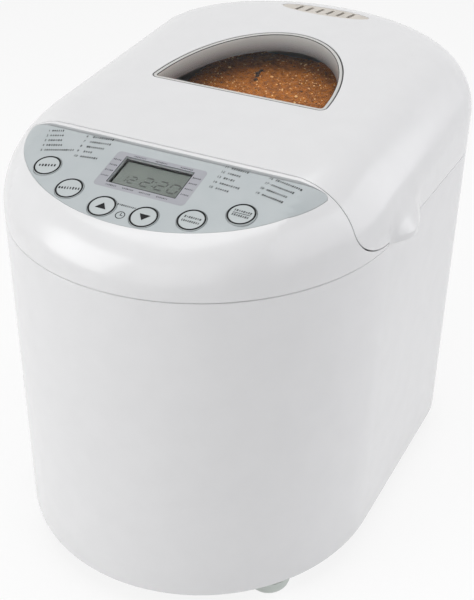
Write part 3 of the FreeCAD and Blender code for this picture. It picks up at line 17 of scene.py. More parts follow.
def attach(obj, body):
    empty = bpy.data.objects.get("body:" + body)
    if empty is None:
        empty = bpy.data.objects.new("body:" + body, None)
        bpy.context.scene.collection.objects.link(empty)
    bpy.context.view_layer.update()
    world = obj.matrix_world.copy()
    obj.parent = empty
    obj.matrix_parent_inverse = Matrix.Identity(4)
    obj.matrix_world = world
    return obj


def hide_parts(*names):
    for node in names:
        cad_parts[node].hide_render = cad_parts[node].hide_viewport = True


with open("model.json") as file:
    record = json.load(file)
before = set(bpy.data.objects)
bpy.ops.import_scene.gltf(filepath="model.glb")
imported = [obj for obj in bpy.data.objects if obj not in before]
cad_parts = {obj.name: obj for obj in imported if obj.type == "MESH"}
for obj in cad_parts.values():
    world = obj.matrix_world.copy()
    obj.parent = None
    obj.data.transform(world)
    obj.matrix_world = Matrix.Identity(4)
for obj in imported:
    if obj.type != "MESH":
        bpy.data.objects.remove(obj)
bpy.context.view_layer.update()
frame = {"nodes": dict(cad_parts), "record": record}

nodes = frame["nodes"]

# %% [markdown]
# ## Sizes
# The housing is an oval seen from above: a deep round front, straight sides and a rounder back.
# Two sloping tops share that plan, one for the key panel and one for the lid. Every shape
# below is worked out from this short list, so the mouldings meet along the same lines.

# %% Shared sizes
MM = 0.001
HALF_WIDTH = 118.0
FRONT_MID, FRONT_ARC = -50.5, 122.0
BACK_MID, BACK_ARC = 77.5, 86.0
BACK_Y = BACK_MID + BACK_ARC
FOOT, SEAM, LID_FOOT = 12.0, 224.0, 224.6
CUT_Y, SEAM_GAP, WALL = -89.5, 0.6, 2.6
PAN_Y = 39.5
HINGE_Y, HINGE_Z, KNUCKLE, LID_HALF = BACK_Y + 4.0, 224.3, 5.0, 28.0
CONSOLE = {"z": 270.5, "slope": math.radians(16.0), "round": 30.0}
LID = {"z": 271.0, "slope": math.radians(5.4), "round": 40.0}
print("back of the housing at", BACK_Y)

# %% [markdown]
# ## Small helpers
# A piece is a mesh whose object stays at the origin, so its place is in its points. Modifiers are
# applied by reading the evaluated mesh back, which leaves a plain mesh. A piece is then dressed:
# it gets a finish and the body it moves with, and the model nodes it stands for are hidden.


# %% Helpers for pieces
def piece(name, points, faces):
    """A mesh object from points in millimetres."""
    mesh = bpy.data.meshes.new(name)
    mesh.from_pydata((np.asarray(points, float) * MM).tolist(), [], faces)
    mesh.update()
    made = bpy.data.objects.new(name, mesh)
    bpy.context.scene.collection.objects.link(made)
    return made


def settle(made):
    """Applies what the modifiers show and removes them."""
    graph = bpy.context.evaluated_depsgraph_get()
    fresh = bpy.data.meshes.new_from_object(made.evaluated_get(graph))
    made.modifiers.clear()
    old, made.data = made.data, fresh
    bpy.data.meshes.remove(old)
    fresh.name = made.name
    return made


def carve(made, cutter, operation="DIFFERENCE"):
    """Cuts a closed shape with another, or keeps what they share."""
    knife = made.modifiers.new("knife", "BOOLEAN")
    knife.operation, knife.solver, knife.object = operation, "EXACT", cutter
    settle(made)
    bpy.data.objects.remove(cutter)
    return made


def smooth(made, angle=32.0):
    """Smooth shading, with edges sharper than the angle left crisp."""
    made.data.shade_smooth()
    made.data.set_sharp_from_angle(angle=math.radians(angle))
    return made


def soften(made, width, segments=3, angle=35.0):
    """Rounds the sharp edges a little, as a mould does."""
    edge = made.modifiers.new("edge", "BEVEL")
    edge.width, edge.segments = width * MM, segments
    edge.limit_method, edge.angle_limit = "ANGLE", math.radians(angle)
    return settle(made)


def dress(made, body, slot, finish, *stood_for):
    """Gives a finished piece its material and its body, and hides the nodes it stands for."""
    made.data.materials.clear()
    made.data.materials.append(finish)
    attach(made, body)
    if stood_for:
        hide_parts(*stood_for)
    print(made.name, "faces:", len(made.data.polygons))
    return made


def place(made, matrix):
    """Moves the points of a piece, and leaves its object at the origin."""
    made.data.transform(matrix)
    return made


def outward(made, reach=0.0):
    """Turns all faces outward, after joining points that lie within a reach in metres."""
    shape = bmesh.new()
    shape.from_mesh(made.data)
    if reach:
        bmesh.ops.remove_doubles(shape, verts=shape.verts, dist=reach)
    bmesh.ops.recalc_face_normals(shape, faces=shape.faces)
    shape.to_mesh(made.data)
    shape.free()
    return made


TOUCH = 1e-7


def weld(made):
    """Joins points that touch, and drops faces that lie on each other."""
    shape = bmesh.new()
    shape.from_mesh(made.data)
    bmesh.ops.remove_doubles(shape, verts=shape.verts, dist=TOUCH)
    alike = {}
    for face in shape.faces:
        alike.setdefault(frozenset(face.verts), []).append(face)
    doubled = [face for group in alike.values() if len(group) > 1 for face in group]
    bmesh.ops.delete(shape, geom=doubled, context="FACES")
    shape.to_mesh(made.data)
    shape.free()
    return outward(made)


def joined(name, parts):
    """One piece from several."""
    shape = bmesh.new()
    for part in parts:
        shape.from_mesh(part.data)
        bpy.data.objects.remove(part)
    made = piece(name, np.zeros((0, 3)), [])
    shape.to_mesh(made.data)
    shape.free()
    return made


def tilted(top):
    """The flat frame of a sloping top: across, up the slope, and out of it."""
    spot = Matrix.Translation(Vector((0, CUT_Y, top["z"])) * MM)
    return spot @ Matrix.Rotation(top["slope"], 4, "X")


ON_PANEL = tilted(CONSOLE)

# %% [markdown]
# ## Finishes
# Plastic is never one flat colour: the mould leaves a very fine orange peel, and the shine varies a
# little over the surface. One helper makes such a finish from two close colours, a range of
# roughness and a bump. Stretching its noise gives the brushed look of sheet steel.


# %% A helper for finishes
def linear(colour):
    """Turns a display colour from 0 to 255 into the linear values that shaders use."""
    share = np.asarray(colour, float) / 255.0
    low, high = share / 12.92, ((share + 0.055) / 1.055) ** 2.4
    return tuple(np.where(share <= 0.04045, low, high)) + (1.0,)


def link(tree, kind, **inputs):
    """Adds a node. Values are set on its sockets, and sockets are linked to them."""
    node = tree.nodes.new(kind)
    for label, value in inputs.items():
        socket = node.inputs[label.replace("_", " ")]
        if isinstance(value, bpy.types.NodeSocket):
            tree.links.new(value, socket)
        else:
            socket.default_value = value
    return node


def finish(name, colours, rough, grain=60.0, bump=0.0, fine=900.0, stretch=(1, 1, 1), **settings):
    """A moulded or metal surface with a little life in its colour, shine and relief."""
    material = bpy.data.materials.new(name)
    material.use_nodes = True
    tree = material.node_tree
    shader = tree.nodes["Principled BSDF"]
    where = tree.nodes.new("ShaderNodeTexCoord").outputs["Object"]
    where = link(tree, "ShaderNodeMapping", Vector=where, Scale=stretch).outputs["Vector"]
    cloud = link(tree, "ShaderNodeTexNoise", Vector=where, Scale=grain, Detail=4.0)
    ramp = link(tree, "ShaderNodeValToRGB", Fac=cloud.outputs["Fac"])
    for stop, colour, spot in zip(ramp.color_ramp.elements, colours, (0.32, 0.68)):
        stop.color, stop.position = linear(colour), spot
    shine = link(tree, "ShaderNodeMapRange", Value=cloud.outputs["Fac"])
    shine.inputs["To Min"].default_value, shine.inputs["To Max"].default_value = rough
    tree.links.new(ramp.outputs["Color"], shader.inputs["Base Color"])
    tree.links.new(shine.outputs["Result"], shader.inputs["Roughness"])
    if bump:
        peel = link(tree, "ShaderNodeTexNoise", Vector=where, Scale=fine, Detail=2.0)
        relief = link(tree, "ShaderNodeBump", Height=peel.outputs["Fac"], Strength=bump)
        relief.inputs["Distance"].default_value = 0.0003
        tree.links.new(relief.outputs["Normal"], shader.inputs["Normal"])
    for label, value in settings.items():
        shader.inputs[label.replace("_", " ")].default_value = value
    return material


# %% The plastics, metals and rubbers
BRUSHED = (1, 1, 40)
finishes = {
    "white_plastic": finish("white moulding", ((228, 228, 229), (230, 230, 231)), (0.22, 0.25),
                            bump=0.02, Coat_Weight=0.15, Coat_Roughness=0.1),
    "panel_film": finish("panel film", ((178, 185, 187), (183, 189, 191)), (0.42, 0.5), bump=0.06),
    "key_plastic": finish("key cap", ((184, 191, 192), (189, 195, 196)), (0.35, 0.45), bump=0.05),
    "frame_grey": finish("window frame", ((196, 195, 191), (206, 205, 202)), (0.25, 0.35), bump=0.05),
    "vent_beige": finish("vent insert", ((200, 194, 185), (211, 205, 197)), (0.45, 0.55), bump=0.12),
    "foot_rubber": finish("foot", ((196, 203, 198), (206, 212, 207)), (0.4, 0.5), bump=0.1),
    "dark_rubber": finish("black rubber", ((24, 24, 25), (36, 36, 37)), (0.6, 0.75), bump=0.3),
    "steel_sheet": finish("sheet steel", ((150, 151, 152), (186, 186, 186)), (0.28, 0.42),
                          stretch=BRUSHED, Metallic=1.0),
    "steel_bar": finish("turned steel", ((168, 168, 168), (192, 192, 190)), (0.2, 0.32), Metallic=1.0),
    "heater_steel": finish("heater sheath", ((62, 60, 60), (84, 80, 78)), (0.4, 0.6), Metallic=1.0),
    "ceramic_white": finish("ceramic", ((214, 208, 196), (226, 221, 210)), (0.5, 0.65), bump=0.2),
    "pan_coating": finish("pan coating", ((58, 58, 60), (74, 74, 76)), (0.34, 0.46), bump=0.2),
    "cast_alloy": finish("cast alloy", ((150, 150, 150), (176, 176, 175)), (0.35, 0.5), bump=0.2,
                         Metallic=1.0),
    "bronze_bush": finish("bronze", ((150, 112, 62), (178, 138, 84)), (0.3, 0.45), Metallic=1.0),
    "dark_plastic": finish("dark plastic", ((38, 38, 40), (50, 50, 52)), (0.45, 0.6), bump=0.2),
    "board_green": finish("circuit board", ((22, 78, 44), (34, 98, 58)), (0.35, 0.5), bump=0.1),
    "motor_iron": finish("iron core", ((66, 68, 72), (90, 92, 95)), (0.45, 0.6), bump=0.2,
                         Metallic=0.6),
    "display_olive": finish("display back", ((86, 92, 87), (97, 102, 97)), (0.4, 0.5)),
}
ink = finish("black print", ((8, 9, 11), (15, 16, 18)), (0.6, 0.7), Specular_IOR_Level=0.2)
faint = finish("display digits", ((46, 50, 47), (54, 58, 55)), (0.5, 0.6))
tinted = finish("tinted print", ((158, 159, 166), (164, 165, 171)), (0.42, 0.5))
print("finishes:", len(finishes) + 3)

# %% [markdown]
# A clear pane is a finish that lets light through. A thin flat sheet hardly bends what is seen through
# it, so its index of refraction is set low, and the loaf below keeps its depth of colour.

# %% The clear pane
CLEAR = (250, 251, 251)
finishes["clear_pane"] = finish("clear pane", (CLEAR, CLEAR), (0.02, 0.04), Transmission_Weight=1.0,
                                IOR=1.06)
print("clear pane made")

# %% [markdown]
# The deep frame of the window is pale at the skin of the lid and darker below it, and that darkening is
# painted shade of the recess. Its finish measures how far a spot lies under the sloping skin with a dot
# product, and a ramp turns that into a colour.

# %% A finish with painted shade that darkens with depth
depth_shaded_frame = finish("graded frame", ((190, 190, 188), (200, 200, 197)), (0.25, 0.35))
tree = depth_shaded_frame.node_tree
where = tree.nodes.new("ShaderNodeTexCoord").outputs["Object"]
under = link(tree, "ShaderNodeVectorMath")
under.operation = "DOT_PRODUCT"
tree.links.new(where, under.inputs[0])
under.inputs[1].default_value = (0.0, -math.sin(LID["slope"]), math.cos(LID["slope"]))
skin_level = (LID["z"] * math.cos(LID["slope"]) - CUT_Y * math.sin(LID["slope"])) * MM
share = link(tree, "ShaderNodeMapRange", Value=under.outputs["Value"])
share.inputs["From Min"].default_value = skin_level - 11.0 * MM
share.inputs["From Max"].default_value = skin_level - 0.6 * MM
ramp = link(tree, "ShaderNodeValToRGB", Fac=share.outputs[0])
# The dark end of the ramp is painted shade deep in the window; the pale end is the frame's own grey.
for stop, colour in zip(ramp.color_ramp.elements, ((104, 104, 107), (204, 203, 200))):
    stop.color = linear(colour)
tree.links.new(ramp.outputs["Color"], tree.nodes["Principled BSDF"].inputs["Base Color"])
print("graded frame made")

# %% [markdown]
# ## Every node gets its finish
# The record names a material slot for each node. Looking the finish up by that name dresses all the
# pieces inside the machine at once. The pieces that show get better versions below.

# %% Finishes on the nodes
for row in frame["record"]["subparts"]:
    target = nodes[row["node"]]
    target.data.materials.clear()
    target.data.materials.append(finishes[row["material_slot"]])
painted = finish("painted liner", ((150, 150, 152), (164, 164, 166)), (0.4, 0.5))
nodes["lid_liner"].data.materials[0] = painted
print("dressed nodes:", len(nodes))

# %% [markdown]
# ## Geometry Nodes trees
# A tree is a small program for shapes. Built in code, it is a group with named inputs, nodes and
# links. Two helpers keep that short: one starts a group, the other runs it on a piece and keeps
# the plain mesh.


# %% Helpers for trees
def new_tree(name, **inputs):
    """An empty tree with a geometry input and output, and named inputs."""
    tree = bpy.data.node_groups.new(name, "GeometryNodeTree")
    tree.interface.new_socket("Geometry", in_out="INPUT", socket_type="NodeSocketGeometry")
    tree.interface.new_socket("Geometry", in_out="OUTPUT", socket_type="NodeSocketGeometry")
    for label, kind in inputs.items():
        tree.interface.new_socket(label, in_out="INPUT", socket_type="NodeSocket" + kind)
    return tree, tree.nodes.new("NodeGroupInput").outputs


def end_tree(tree, shape, finish_socket):
    """Closes a tree: copies become real meshes, and the finish is set."""
    real = link(tree, "GeometryNodeRealizeInstances", Geometry=shape)
    done = link(tree, "GeometryNodeSetMaterial", Geometry=real.outputs[0], Material=finish_socket)
    tree.links.new(done.outputs[0], tree.nodes.new("NodeGroupOutput").inputs[0])
    return tree


def grow(made, tree, **values):
    """Runs a tree on a piece and keeps the mesh that comes out."""
    run = made.modifiers.new(tree.name, "NODES")
    run.node_group = tree
    for item in tree.interface.items_tree:
        if item.in_out == "INPUT" and item.name in values:
            run[item.identifier] = values[item.name]
    return outward(settle(made), TOUCH)


# %% A tree that sweeps a section along a path
sweep, given = new_tree("Swept section", Section="Object", Finish="Material")
path = link(sweep, "GeometryNodeMeshToCurve", Mesh=given["Geometry"])
path = link(sweep, "GeometryNodeSetCurveNormal", Curve=path.outputs[0])
path.mode = "Z_UP"
shown = link(sweep, "GeometryNodeObjectInfo", Object=given["Section"])
section = link(sweep, "GeometryNodeMeshToCurve", Mesh=shown.outputs["Geometry"])
wall = link(sweep, "GeometryNodeCurveToMesh", Curve=path.outputs[0])
sweep.links.new(section.outputs[0], wall.inputs["Profile Curve"])
end_tree(sweep, wall.outputs[0], given["Finish"])


def wires(name, points, edges):
    """A mesh of points and edges only."""
    mesh = bpy.data.meshes.new(name)
    flat = np.zeros((len(points), 3))
    flat[:, :len(points[0])] = np.asarray(points, float) * MM
    mesh.from_pydata(flat.tolist(), edges, [])
    made = bpy.data.objects.new(name, mesh)
    bpy.context.scene.collection.objects.link(made)
    return made


def outline(name, points):
    """A closed line."""
    count = len(points)
    return wires(name, points, [(i, (i + 1) % count) for i in range(count)])


def swept(name, path_points, section_points, material):
    """A ring with the section (outward, up) all the way round a flat path."""
    hanging = np.asarray(section_points, float) * (1.0, -1.0)
    made, profile = outline(name, path_points), outline("section", hanging)
    grow(made, sweep, Section=profile, Finish=material)
    bpy.data.objects.remove(profile)
    return made


# %% [markdown]
# ## The oval plan
# The plan is sampled at even steps along its length, with the outward direction at each step. Even
# steps give even quads, and even quads give clean reflections on glossy plastic.


# %% The plan as points
def plan_loop(count):
    """Points of the plan and their outward directions, anticlockwise from above."""
    turn = np.linspace(0.0, math.pi, 3000)
    back = np.stack([HALF_WIDTH * np.cos(turn), BACK_MID + BACK_ARC * np.sin(turn)], 1)
    front = np.stack([-HALF_WIDTH * np.cos(turn), FRONT_MID - FRONT_ARC * np.sin(turn)], 1)
    back_out = np.stack([np.cos(turn) / HALF_WIDTH, np.sin(turn) / BACK_ARC], 1)
    front_out = np.stack([-np.cos(turn) / HALF_WIDTH, -np.sin(turn) / FRONT_ARC], 1)
    spots = np.concatenate([back, front, back[:1]])
    out = np.concatenate([back_out, front_out, back_out[:1]])
    out /= np.linalg.norm(out, axis=1)[:, None]
    run = np.concatenate([[0.0], np.cumsum(np.linalg.norm(np.diff(spots, axis=0), axis=1))])
    even = np.linspace(0.0, run[-1], count, endpoint=False)
    spots = np.stack([np.interp(even, run, spots[:, i]) for i in (0, 1)], 1)
    out = np.stack([np.interp(even, run, out[:, i]) for i in (0, 1)], 1)
    return spots, out / np.linalg.norm(out, axis=1)[:, None]


plan, plan_out = plan_loop(400)
print("plan points:", len(plan))

# %% [markdown]
# ## The housing
# The housing is one wall of even thickness that follows the plan, so sweeping its section along the
# plan is the shortest way. The section has a rounded lower edge and a fine radius at the seam,
# which gives the thin bright line under the lid. A round relief at the back lets the hinge turn.


# %% Sweep the housing wall
def arc(middle, radius, start, end, steps=6):
    """Points of an arc in the plane of a section, in degrees."""
    turn = np.radians(np.linspace(start, end, steps))
    return np.stack([middle[0] + radius * np.cos(turn), middle[1] + radius * np.sin(turn)], 1)


def circle(radius, middle=(0.0, 0.0), steps=48):
    """Points of a circle, anticlockwise."""
    turn = np.linspace(0.0, 2 * math.pi, steps, endpoint=False)
    return np.stack([middle[0] + radius * np.cos(turn), middle[1] + radius * np.sin(turn)], 1)


def prism(name, profile, low, high, axis):
    """A closed block from a flat outline, pulled along X or Z."""
    count = len(profile)
    flat = np.asarray(profile, float)
    ends = []
    for level in (low, high):
        along = np.full(count, level)
        ends.append(np.column_stack([along, flat] if axis == "X" else [flat, along]))
    faces = [list(range(count))[::-1], list(range(count, 2 * count))]
    faces += [[i, (i + 1) % count, count + (i + 1) % count, count + i] for i in range(count)]
    return outward(piece(name, np.concatenate(ends), faces))


LOWER, FINE, RELIEF = 3.0, 0.7, 0.4
wall_section = np.concatenate([
    arc((-LOWER, FOOT + LOWER), LOWER, -60, 0),
    arc((-FINE, SEAM - FINE), FINE, 0, 90, 4),
    arc((FINE - WALL, SEAM - FINE), FINE, 90, 180, 4),
    [(-WALL, FOOT + LOWER)],
])
housing = swept("housing_wall", plan, wall_section, finishes["white_plastic"])
axle = circle(KNUCKLE + RELIEF, (HINGE_Y, HINGE_Z))
carve(housing, prism("relief", axle, -LID_HALF - SEAM_GAP, LID_HALF + SEAM_GAP, "X"))
smooth(housing)
dress(housing, "housing", "white_plastic", finishes["white_plastic"], "body_shell")

# %% [markdown]
# ## Rounded tops
# Console and lid have a top edge like the path of a rolling ball: a ball of fixed radius touches the
# upright wall and the sloping top. The height of that surface over any spot of the plan has
# a closed formula, so the mesh lies exactly on it, and its true normals can be set as well.


# %% The rolling-ball surface
def ball(top, inset, out_y):
    """How a ball in the edge leans: the cosine between wall and top, and its two offsets."""
    radius = top["round"]
    lean = -math.sin(top["slope"]) * out_y
    aside = radius - inset
    rise = lean * aside + np.sqrt(np.maximum((1 - lean ** 2) * (radius ** 2 - aside ** 2), 0.0))
    return lean, aside, np.where(aside <= lean * radius, radius, rise)


def height(top, y, inset, out_y):
    """Height of a rounded top over spots that lie inset from the wall."""
    rise = ball(top, inset, out_y)[2]
    level = top["z"] + np.tan(top["slope"]) * (y - CUT_Y)
    return level - (top["round"] - rise) / math.cos(top["slope"])


def nearest(spots):
    """Inset and outward direction for any spots of the plan."""
    fine, out = plan_loop(2400)
    inset, ways = np.zeros(len(spots)), np.zeros((len(spots), 2))
    for start in range(0, len(spots), 500):
        some = slice(start, start + 500)
        gap = spots[some, None, :] - fine[None]
        which = np.argmin((gap ** 2).sum(2), axis=1)
        ways[some] = out[which]
        inset[some] = -(gap[np.arange(len(which)), which] * ways[some]).sum(1)
    return inset, ways


def skin(tops, spots):
    """Height of the lowest of several tops over any spots, and the normal there."""
    inset, ways = nearest(spots)
    levels = [height(top, spots[:, 1], inset, ways[:, 1]) for top in tops]
    normals = []
    for top in tops:
        lean, aside, rise = ball(top, np.maximum(inset, 0.0), ways[:, 1])
        up = np.array([0.0, -math.sin(top["slope"]), math.cos(top["slope"])])
        wall_part = (aside - lean * rise) / (1 - lean ** 2)
        top_part = (rise - lean * aside) / (1 - lean ** 2)
        flat = aside <= lean * top["round"]
        way = np.column_stack([ways, np.zeros(len(ways))]) * wall_part[:, None] + up * top_part[:, None]
        way[flat] = up
        normals.append(way / np.linalg.norm(way, axis=1)[:, None])
    lowest = np.argmin(levels, axis=0)
    row = np.arange(len(spots))
    return np.array(levels)[lowest, row], np.array(normals)[lowest, row], inset, ways


def within(top, inset):
    """The same rounded top, moved inward by an even wall."""
    lower = top["z"] - inset / math.cos(top["slope"])
    return {"z": lower, "slope": top["slope"], "round": top["round"] - inset}


def hull(name, tops, inset=0.0, foot=LID_FOOT, bulge=None):
    """A closed block: wall, rolling-ball edge and flat top over the whole plan."""
    reach, rows, steps = 44.0 - inset, 18, 10
    tops = [within(top, inset) for top in tops]
    base = plan - inset * plan_out
    lowest = foot + 0.3
    shoulder = np.min([height(t, base[:, 1], 0.0, plan_out[:, 1]) for t in tops], axis=0)
    shoulder = np.maximum(shoulder, lowest)
    rings = []
    for share in np.linspace(0.0, 1.0, steps)[:-1]:
        rings.append(np.column_stack([base, foot + share * (shoulder - foot)]))
    for row, turn in enumerate(np.linspace(0, math.pi / 2, rows)):
        aside = reach * (1 - math.cos(turn))
        spots = base - aside * plan_out
        level = np.min([height(t, spots[:, 1], aside, plan_out[:, 1]) for t in tops], axis=0)
        rings.append(np.column_stack([spots, np.maximum(level, lowest + 0.02 * row)]))
    points = np.concatenate(rings)
    if bulge is not None:
        points = bulge(points)
    count, top_ring = len(plan), (len(rings) - 1) * len(plan)
    faces = [list(range(count))[::-1], list(range(top_ring, top_ring + count))]
    for low in range(0, top_ring, count):
        for i in range(count):
            j = (i + 1) % count
            faces.append([low + i, low + j, low + count + j, low + count + i])
    return piece(name, points, faces)


# %% [markdown]
# The parting face between console and lid runs straight down and then sweeps back in a rounded toe.
# A prism with that outline keeps the front for the console and cuts it away from the lid.


# %% The parting face
TOE_LENGTH, TOE_HEIGHT, TOE_EDGE = 33.0, 20.0, 2.0


def front_room(shift):
    """The room in front of the parting face, moved back and up by a shift."""
    y, low = CUT_Y + shift, SEAM + TOE_EDGE + shift
    turn = np.radians(np.linspace(180, 270, 25))
    toe = np.stack([y + TOE_LENGTH + TOE_LENGTH * np.cos(turn),
                    low + TOE_HEIGHT + TOE_HEIGHT * np.sin(turn)], 1)
    far, top = -400.0, 500.0
    return prism("front_room", np.concatenate([
        [(far, 0.0), (far, top), (y, top)], toe, [(y + TOE_LENGTH, 0.0)]]), -300.0, 300.0, "X")


def true_normals(made, tops):
    """Sets the exact normals of the rolling-ball surface on the outer skin."""
    mesh = made.data
    spots = np.array([v.co for v in mesh.vertices]) / MM
    level, normal, inset, ways = skin(tops, spots[:, :2])
    on_wall = (np.abs(inset) < 0.03) & (spots[:, 2] < level)
    on_top = (np.abs(spots[:, 2] - level) < 0.03) & (inset > 0.02)
    normal[on_wall] = np.column_stack([ways, np.zeros(len(ways))])[on_wall]
    good = on_wall | on_top
    custom = np.zeros((len(mesh.loops), 3))
    for face in mesh.polygons:
        for corner in face.loop_indices:
            v = mesh.loops[corner].vertex_index
            if good[v] and np.dot(normal[v], face.normal) > 0.93:
                custom[corner] = normal[v]
    mesh.normals_split_custom_set(custom.tolist())
    print(made.name, "true normals on", int(good.sum()), "of", len(good), "points")


# %% [markdown]
# ## The key panel
# The panel film is D-shaped and follows the console, also where its front edge dips into the rounding.
# The same outline, a little larger and deeper, is the bed that is sunk into the console for it.


# %% The D outline
def dee(flat_y, half, middle, reach, corner, inset=0.0, steps=60):
    """A D: an oval cut off straight at flat_y, a little beside its middle, with rounded corners."""
    way = 1.0 if reach > 0 else -1.0
    mid, edge, bend = flat_y - way * middle, flat_y + way * inset, max(corner - inset, corner / 4)
    wide, deep = half - inset, abs(reach) - inset

    def bow(turn):
        return np.stack([wide * np.cos(turn), mid + way * deep * np.sin(turn)], 1)

    fine = np.linspace(0.0, math.pi / 2, 4000)
    low, high = 0.0, wide
    for _ in range(40):
        hub = np.array([(low + high) / 2, edge + way * bend])
        gaps = np.linalg.norm(bow(fine) - hub, axis=1)
        low, high = (hub[0], high) if gaps.min() > bend else (low, hub[0])
    touch = fine[np.argmin(gaps)]
    away = bow(np.array([touch]))[0] - hub
    turn = np.linspace(-math.pi / 2, math.atan2(way * away[1], away[0]), 8)
    corner_part = hub + bend * np.stack([np.cos(turn), way * np.sin(turn)], 1)
    side = np.concatenate([corner_part, bow(np.linspace(touch, math.pi / 2, steps))[1:]])
    return np.concatenate([side, side[-2::-1] * (-1.0, 1.0)])


PANEL = (CUT_Y - SEAM_GAP, 96.3, 12.0, -73.3, 2.5)
FILM = 0.8


def film_block(name, inset, top, bottom):
    """The D between two heights above and below the console's skin."""
    rim = dee(*PANEL, inset)
    middle = np.array([0.0, CUT_Y - 26.0])
    shares = np.concatenate([[1.0], np.linspace(0.985, 0.06, 22)])
    spots = np.concatenate([middle + share * (rim - middle) for share in shares])
    level, normal = skin((CONSOLE, LID), spots)[:2]
    upper = np.column_stack([spots, level]) + normal * top
    lower = np.column_stack([spots, level]) + normal * bottom
    count, rows = len(rim), len(shares)
    faces = []
    for ring in range(rows - 1):
        for i in range(count):
            j = (i + 1) % count
            quad = [ring * count + i, ring * count + j, (ring + 1) * count + j, (ring + 1) * count + i]
            faces.append(quad)
            faces.append([rows * count + k for k in quad[::-1]])
    faces.append([(rows - 1) * count + i for i in range(count)])
    faces.append([(2 * rows - 1) * count + i for i in range(count)][::-1])
    faces += [[(i + 1) % count, i, rows * count + i, rows * count + (i + 1) % count] for i in range(count)]
    return outward(piece(name, np.concatenate([upper, lower]), faces))


KEY_RADIUS, KEY_GAP, KEY_ARC, KEY_STEP, KEY_CENTRE = 8.0, 0.3, 102.0, 14.5, 46.4
KEYS = ["menu", "weight", "up", "down", "colour", "start"]
key_turns = [math.radians((n - 2.5) * KEY_STEP) for n in range(len(KEYS))]
key_spots = [(KEY_ARC * math.sin(t), KEY_CENTRE - KEY_ARC * math.cos(t)) for t in key_turns]
DISPLAY = (41.6, 20.6, -25.4)


def rectangle(wide, tall, middle, bend=0.0, steps=5):
    """Points of a rectangle with rounded corners, anticlockwise."""
    if bend == 0.0:
        return np.array([(middle[0] + sx * wide / 2, middle[1] + sy * tall / 2)
                         for sx, sy in ((-1, -1), (1, -1), (1, 1), (-1, 1))])
    corners = [(1, 1, 0), (-1, 1, 90), (-1, -1, 180), (1, -1, 270)]
    return np.concatenate([arc((middle[0] + sx * (wide / 2 - bend), middle[1] + sy * (tall / 2 - bend)),
                               bend, start, start + 90, steps) for sx, sy, start in corners])


def panel_holes(made):
    """Opens the holes for the keys and the display, square to the panel."""
    for spot in key_spots:
        carve(made, place(prism("hole", circle(KEY_RADIUS + KEY_GAP, spot), -14.0, 14.0, "Z"), ON_PANEL))
    opening = rectangle(DISPLAY[0] + 0.6, DISPLAY[1] + 0.6, (0.0, DISPLAY[2]))
    carve(made, place(prism("hole", opening, -14.0, 14.0, "Z"), ON_PANEL))
    return made


# %% Console and panel film
HOOD = (CONSOLE, LID)
console = carve(hull("console_hood", HOOD), front_room(0.0), "INTERSECT")
inside = hull("console_inside", HOOD, WALL, LID_FOOT - 9.0)
carve(console, carve(inside, front_room(-WALL), "INTERSECT"))
carve(console, film_block("bed", 0.0, 6.0, -FILM - 0.05))
panel_holes(console)
smooth(weld(console))
true_normals(console, HOOD)
dress(console, "housing", "white_plastic", finishes["white_plastic"], "console_cover")

film = panel_holes(film_block("panel_film", 0.15, 0.0, -FILM))
smooth(film)
true_normals(film, HOOD)
dress(film, "housing", "panel_film", finishes["panel_film"], "panel_overlay")

# %% [markdown]
# ## The lid
# The lid is the same kind of block behind the parting face. On each side a lip flares out at the foot
# for lifting it. The flare is a bulge pushed into the points of the outer skin only, so the lip is
# solid behind it and closed below.

# %% The lid moulding
LIP_FRONT, LIP_LENGTH, LIP_OUT, LIP_EDGE, LIP_SWEEP = CUT_Y + 35.0, 50.0, 8.6, 3.5, 20.0
lip_runs = ([0.0, 0.1, 0.2, 0.3, 0.4, 0.5, 0.62, 0.75, 0.88, 1.0],
            [0.0, 0.42, 0.8, 1.0, 1.0, 0.92, 0.74, 0.46, 0.16, 0.0])
lip_rises = ([0.0, 0.15, 0.3, 0.45, 0.6, 0.8, 1.0], [1.0, 0.68, 0.43, 0.26, 0.14, 0.04, 0.0])


def lift_lips(points):
    """Pushes the side walls out into a lip on each side."""
    moved = points.copy()
    run = (points[:, 1] - LIP_FRONT) / LIP_LENGTH
    rise = (points[:, 2] - LID_FOOT - LIP_EDGE) / LIP_SWEEP
    out = np.interp(run, *lip_runs, left=0.0, right=0.0) * np.interp(rise, *lip_rises, left=1.0, right=0.0)
    side = np.abs(points[:, 0]) > HALF_WIDTH - 8.0
    moved[side, 0] += (np.sign(points[:, 0]) * out * LIP_OUT)[side]
    return moved


WINDOW = (CUT_Y + 72.3, 59.0, 1.0, 94.5, 5.0)
VENT_WIDE, VENT_DEEP, VENT_Y = 64.0, 13.0, BACK_Y - 46.0


def oval(wide, deep, middle, steps=72):
    """Points of an oval, anticlockwise."""
    return circle(1.0, (0.0, 0.0), steps) * np.array([wide / 2, deep / 2]) + np.array(middle)


lid = carve(hull("lid_moulding", (LID,), bulge=lift_lips), front_room(SEAM_GAP))
inside = hull("lid_inside", (LID,), WALL, LID_FOOT - 9.0)
carve(lid, carve(inside, front_room(SEAM_GAP + WALL)))
carve(lid, prism("opening", dee(*WINDOW), 240.0, 400.0, "Z"))
carve(lid, prism("opening", oval(VENT_WIDE + 0.6, VENT_DEEP + 0.6, (0.0, VENT_Y)), 240.0, 400.0, "Z"))
soften(lid, 0.5)
smooth(lid)
true_normals(lid, (LID,))
dress(lid, "lid", "white_plastic", finishes["white_plastic"], "lid_shell")

# %% [markdown]
# ## The window
# The window sits in the sloping lid, but its outline is drawn in plan. A shear lifts plan points onto
# the slope and leaves them in place in plan. Frame and seal are sections swept along the same D.


# %% Frame and seal of the window
def leaned(top):
    """Lifts plan points onto a sloping top."""
    lean = math.tan(top["slope"])
    rise = (top["z"] - lean * CUT_Y) * MM
    return Matrix(((1, 0, 0, 0), (0, 1, 0, 0), (0, lean, 1, rise), (0, 0, 0, 1)))


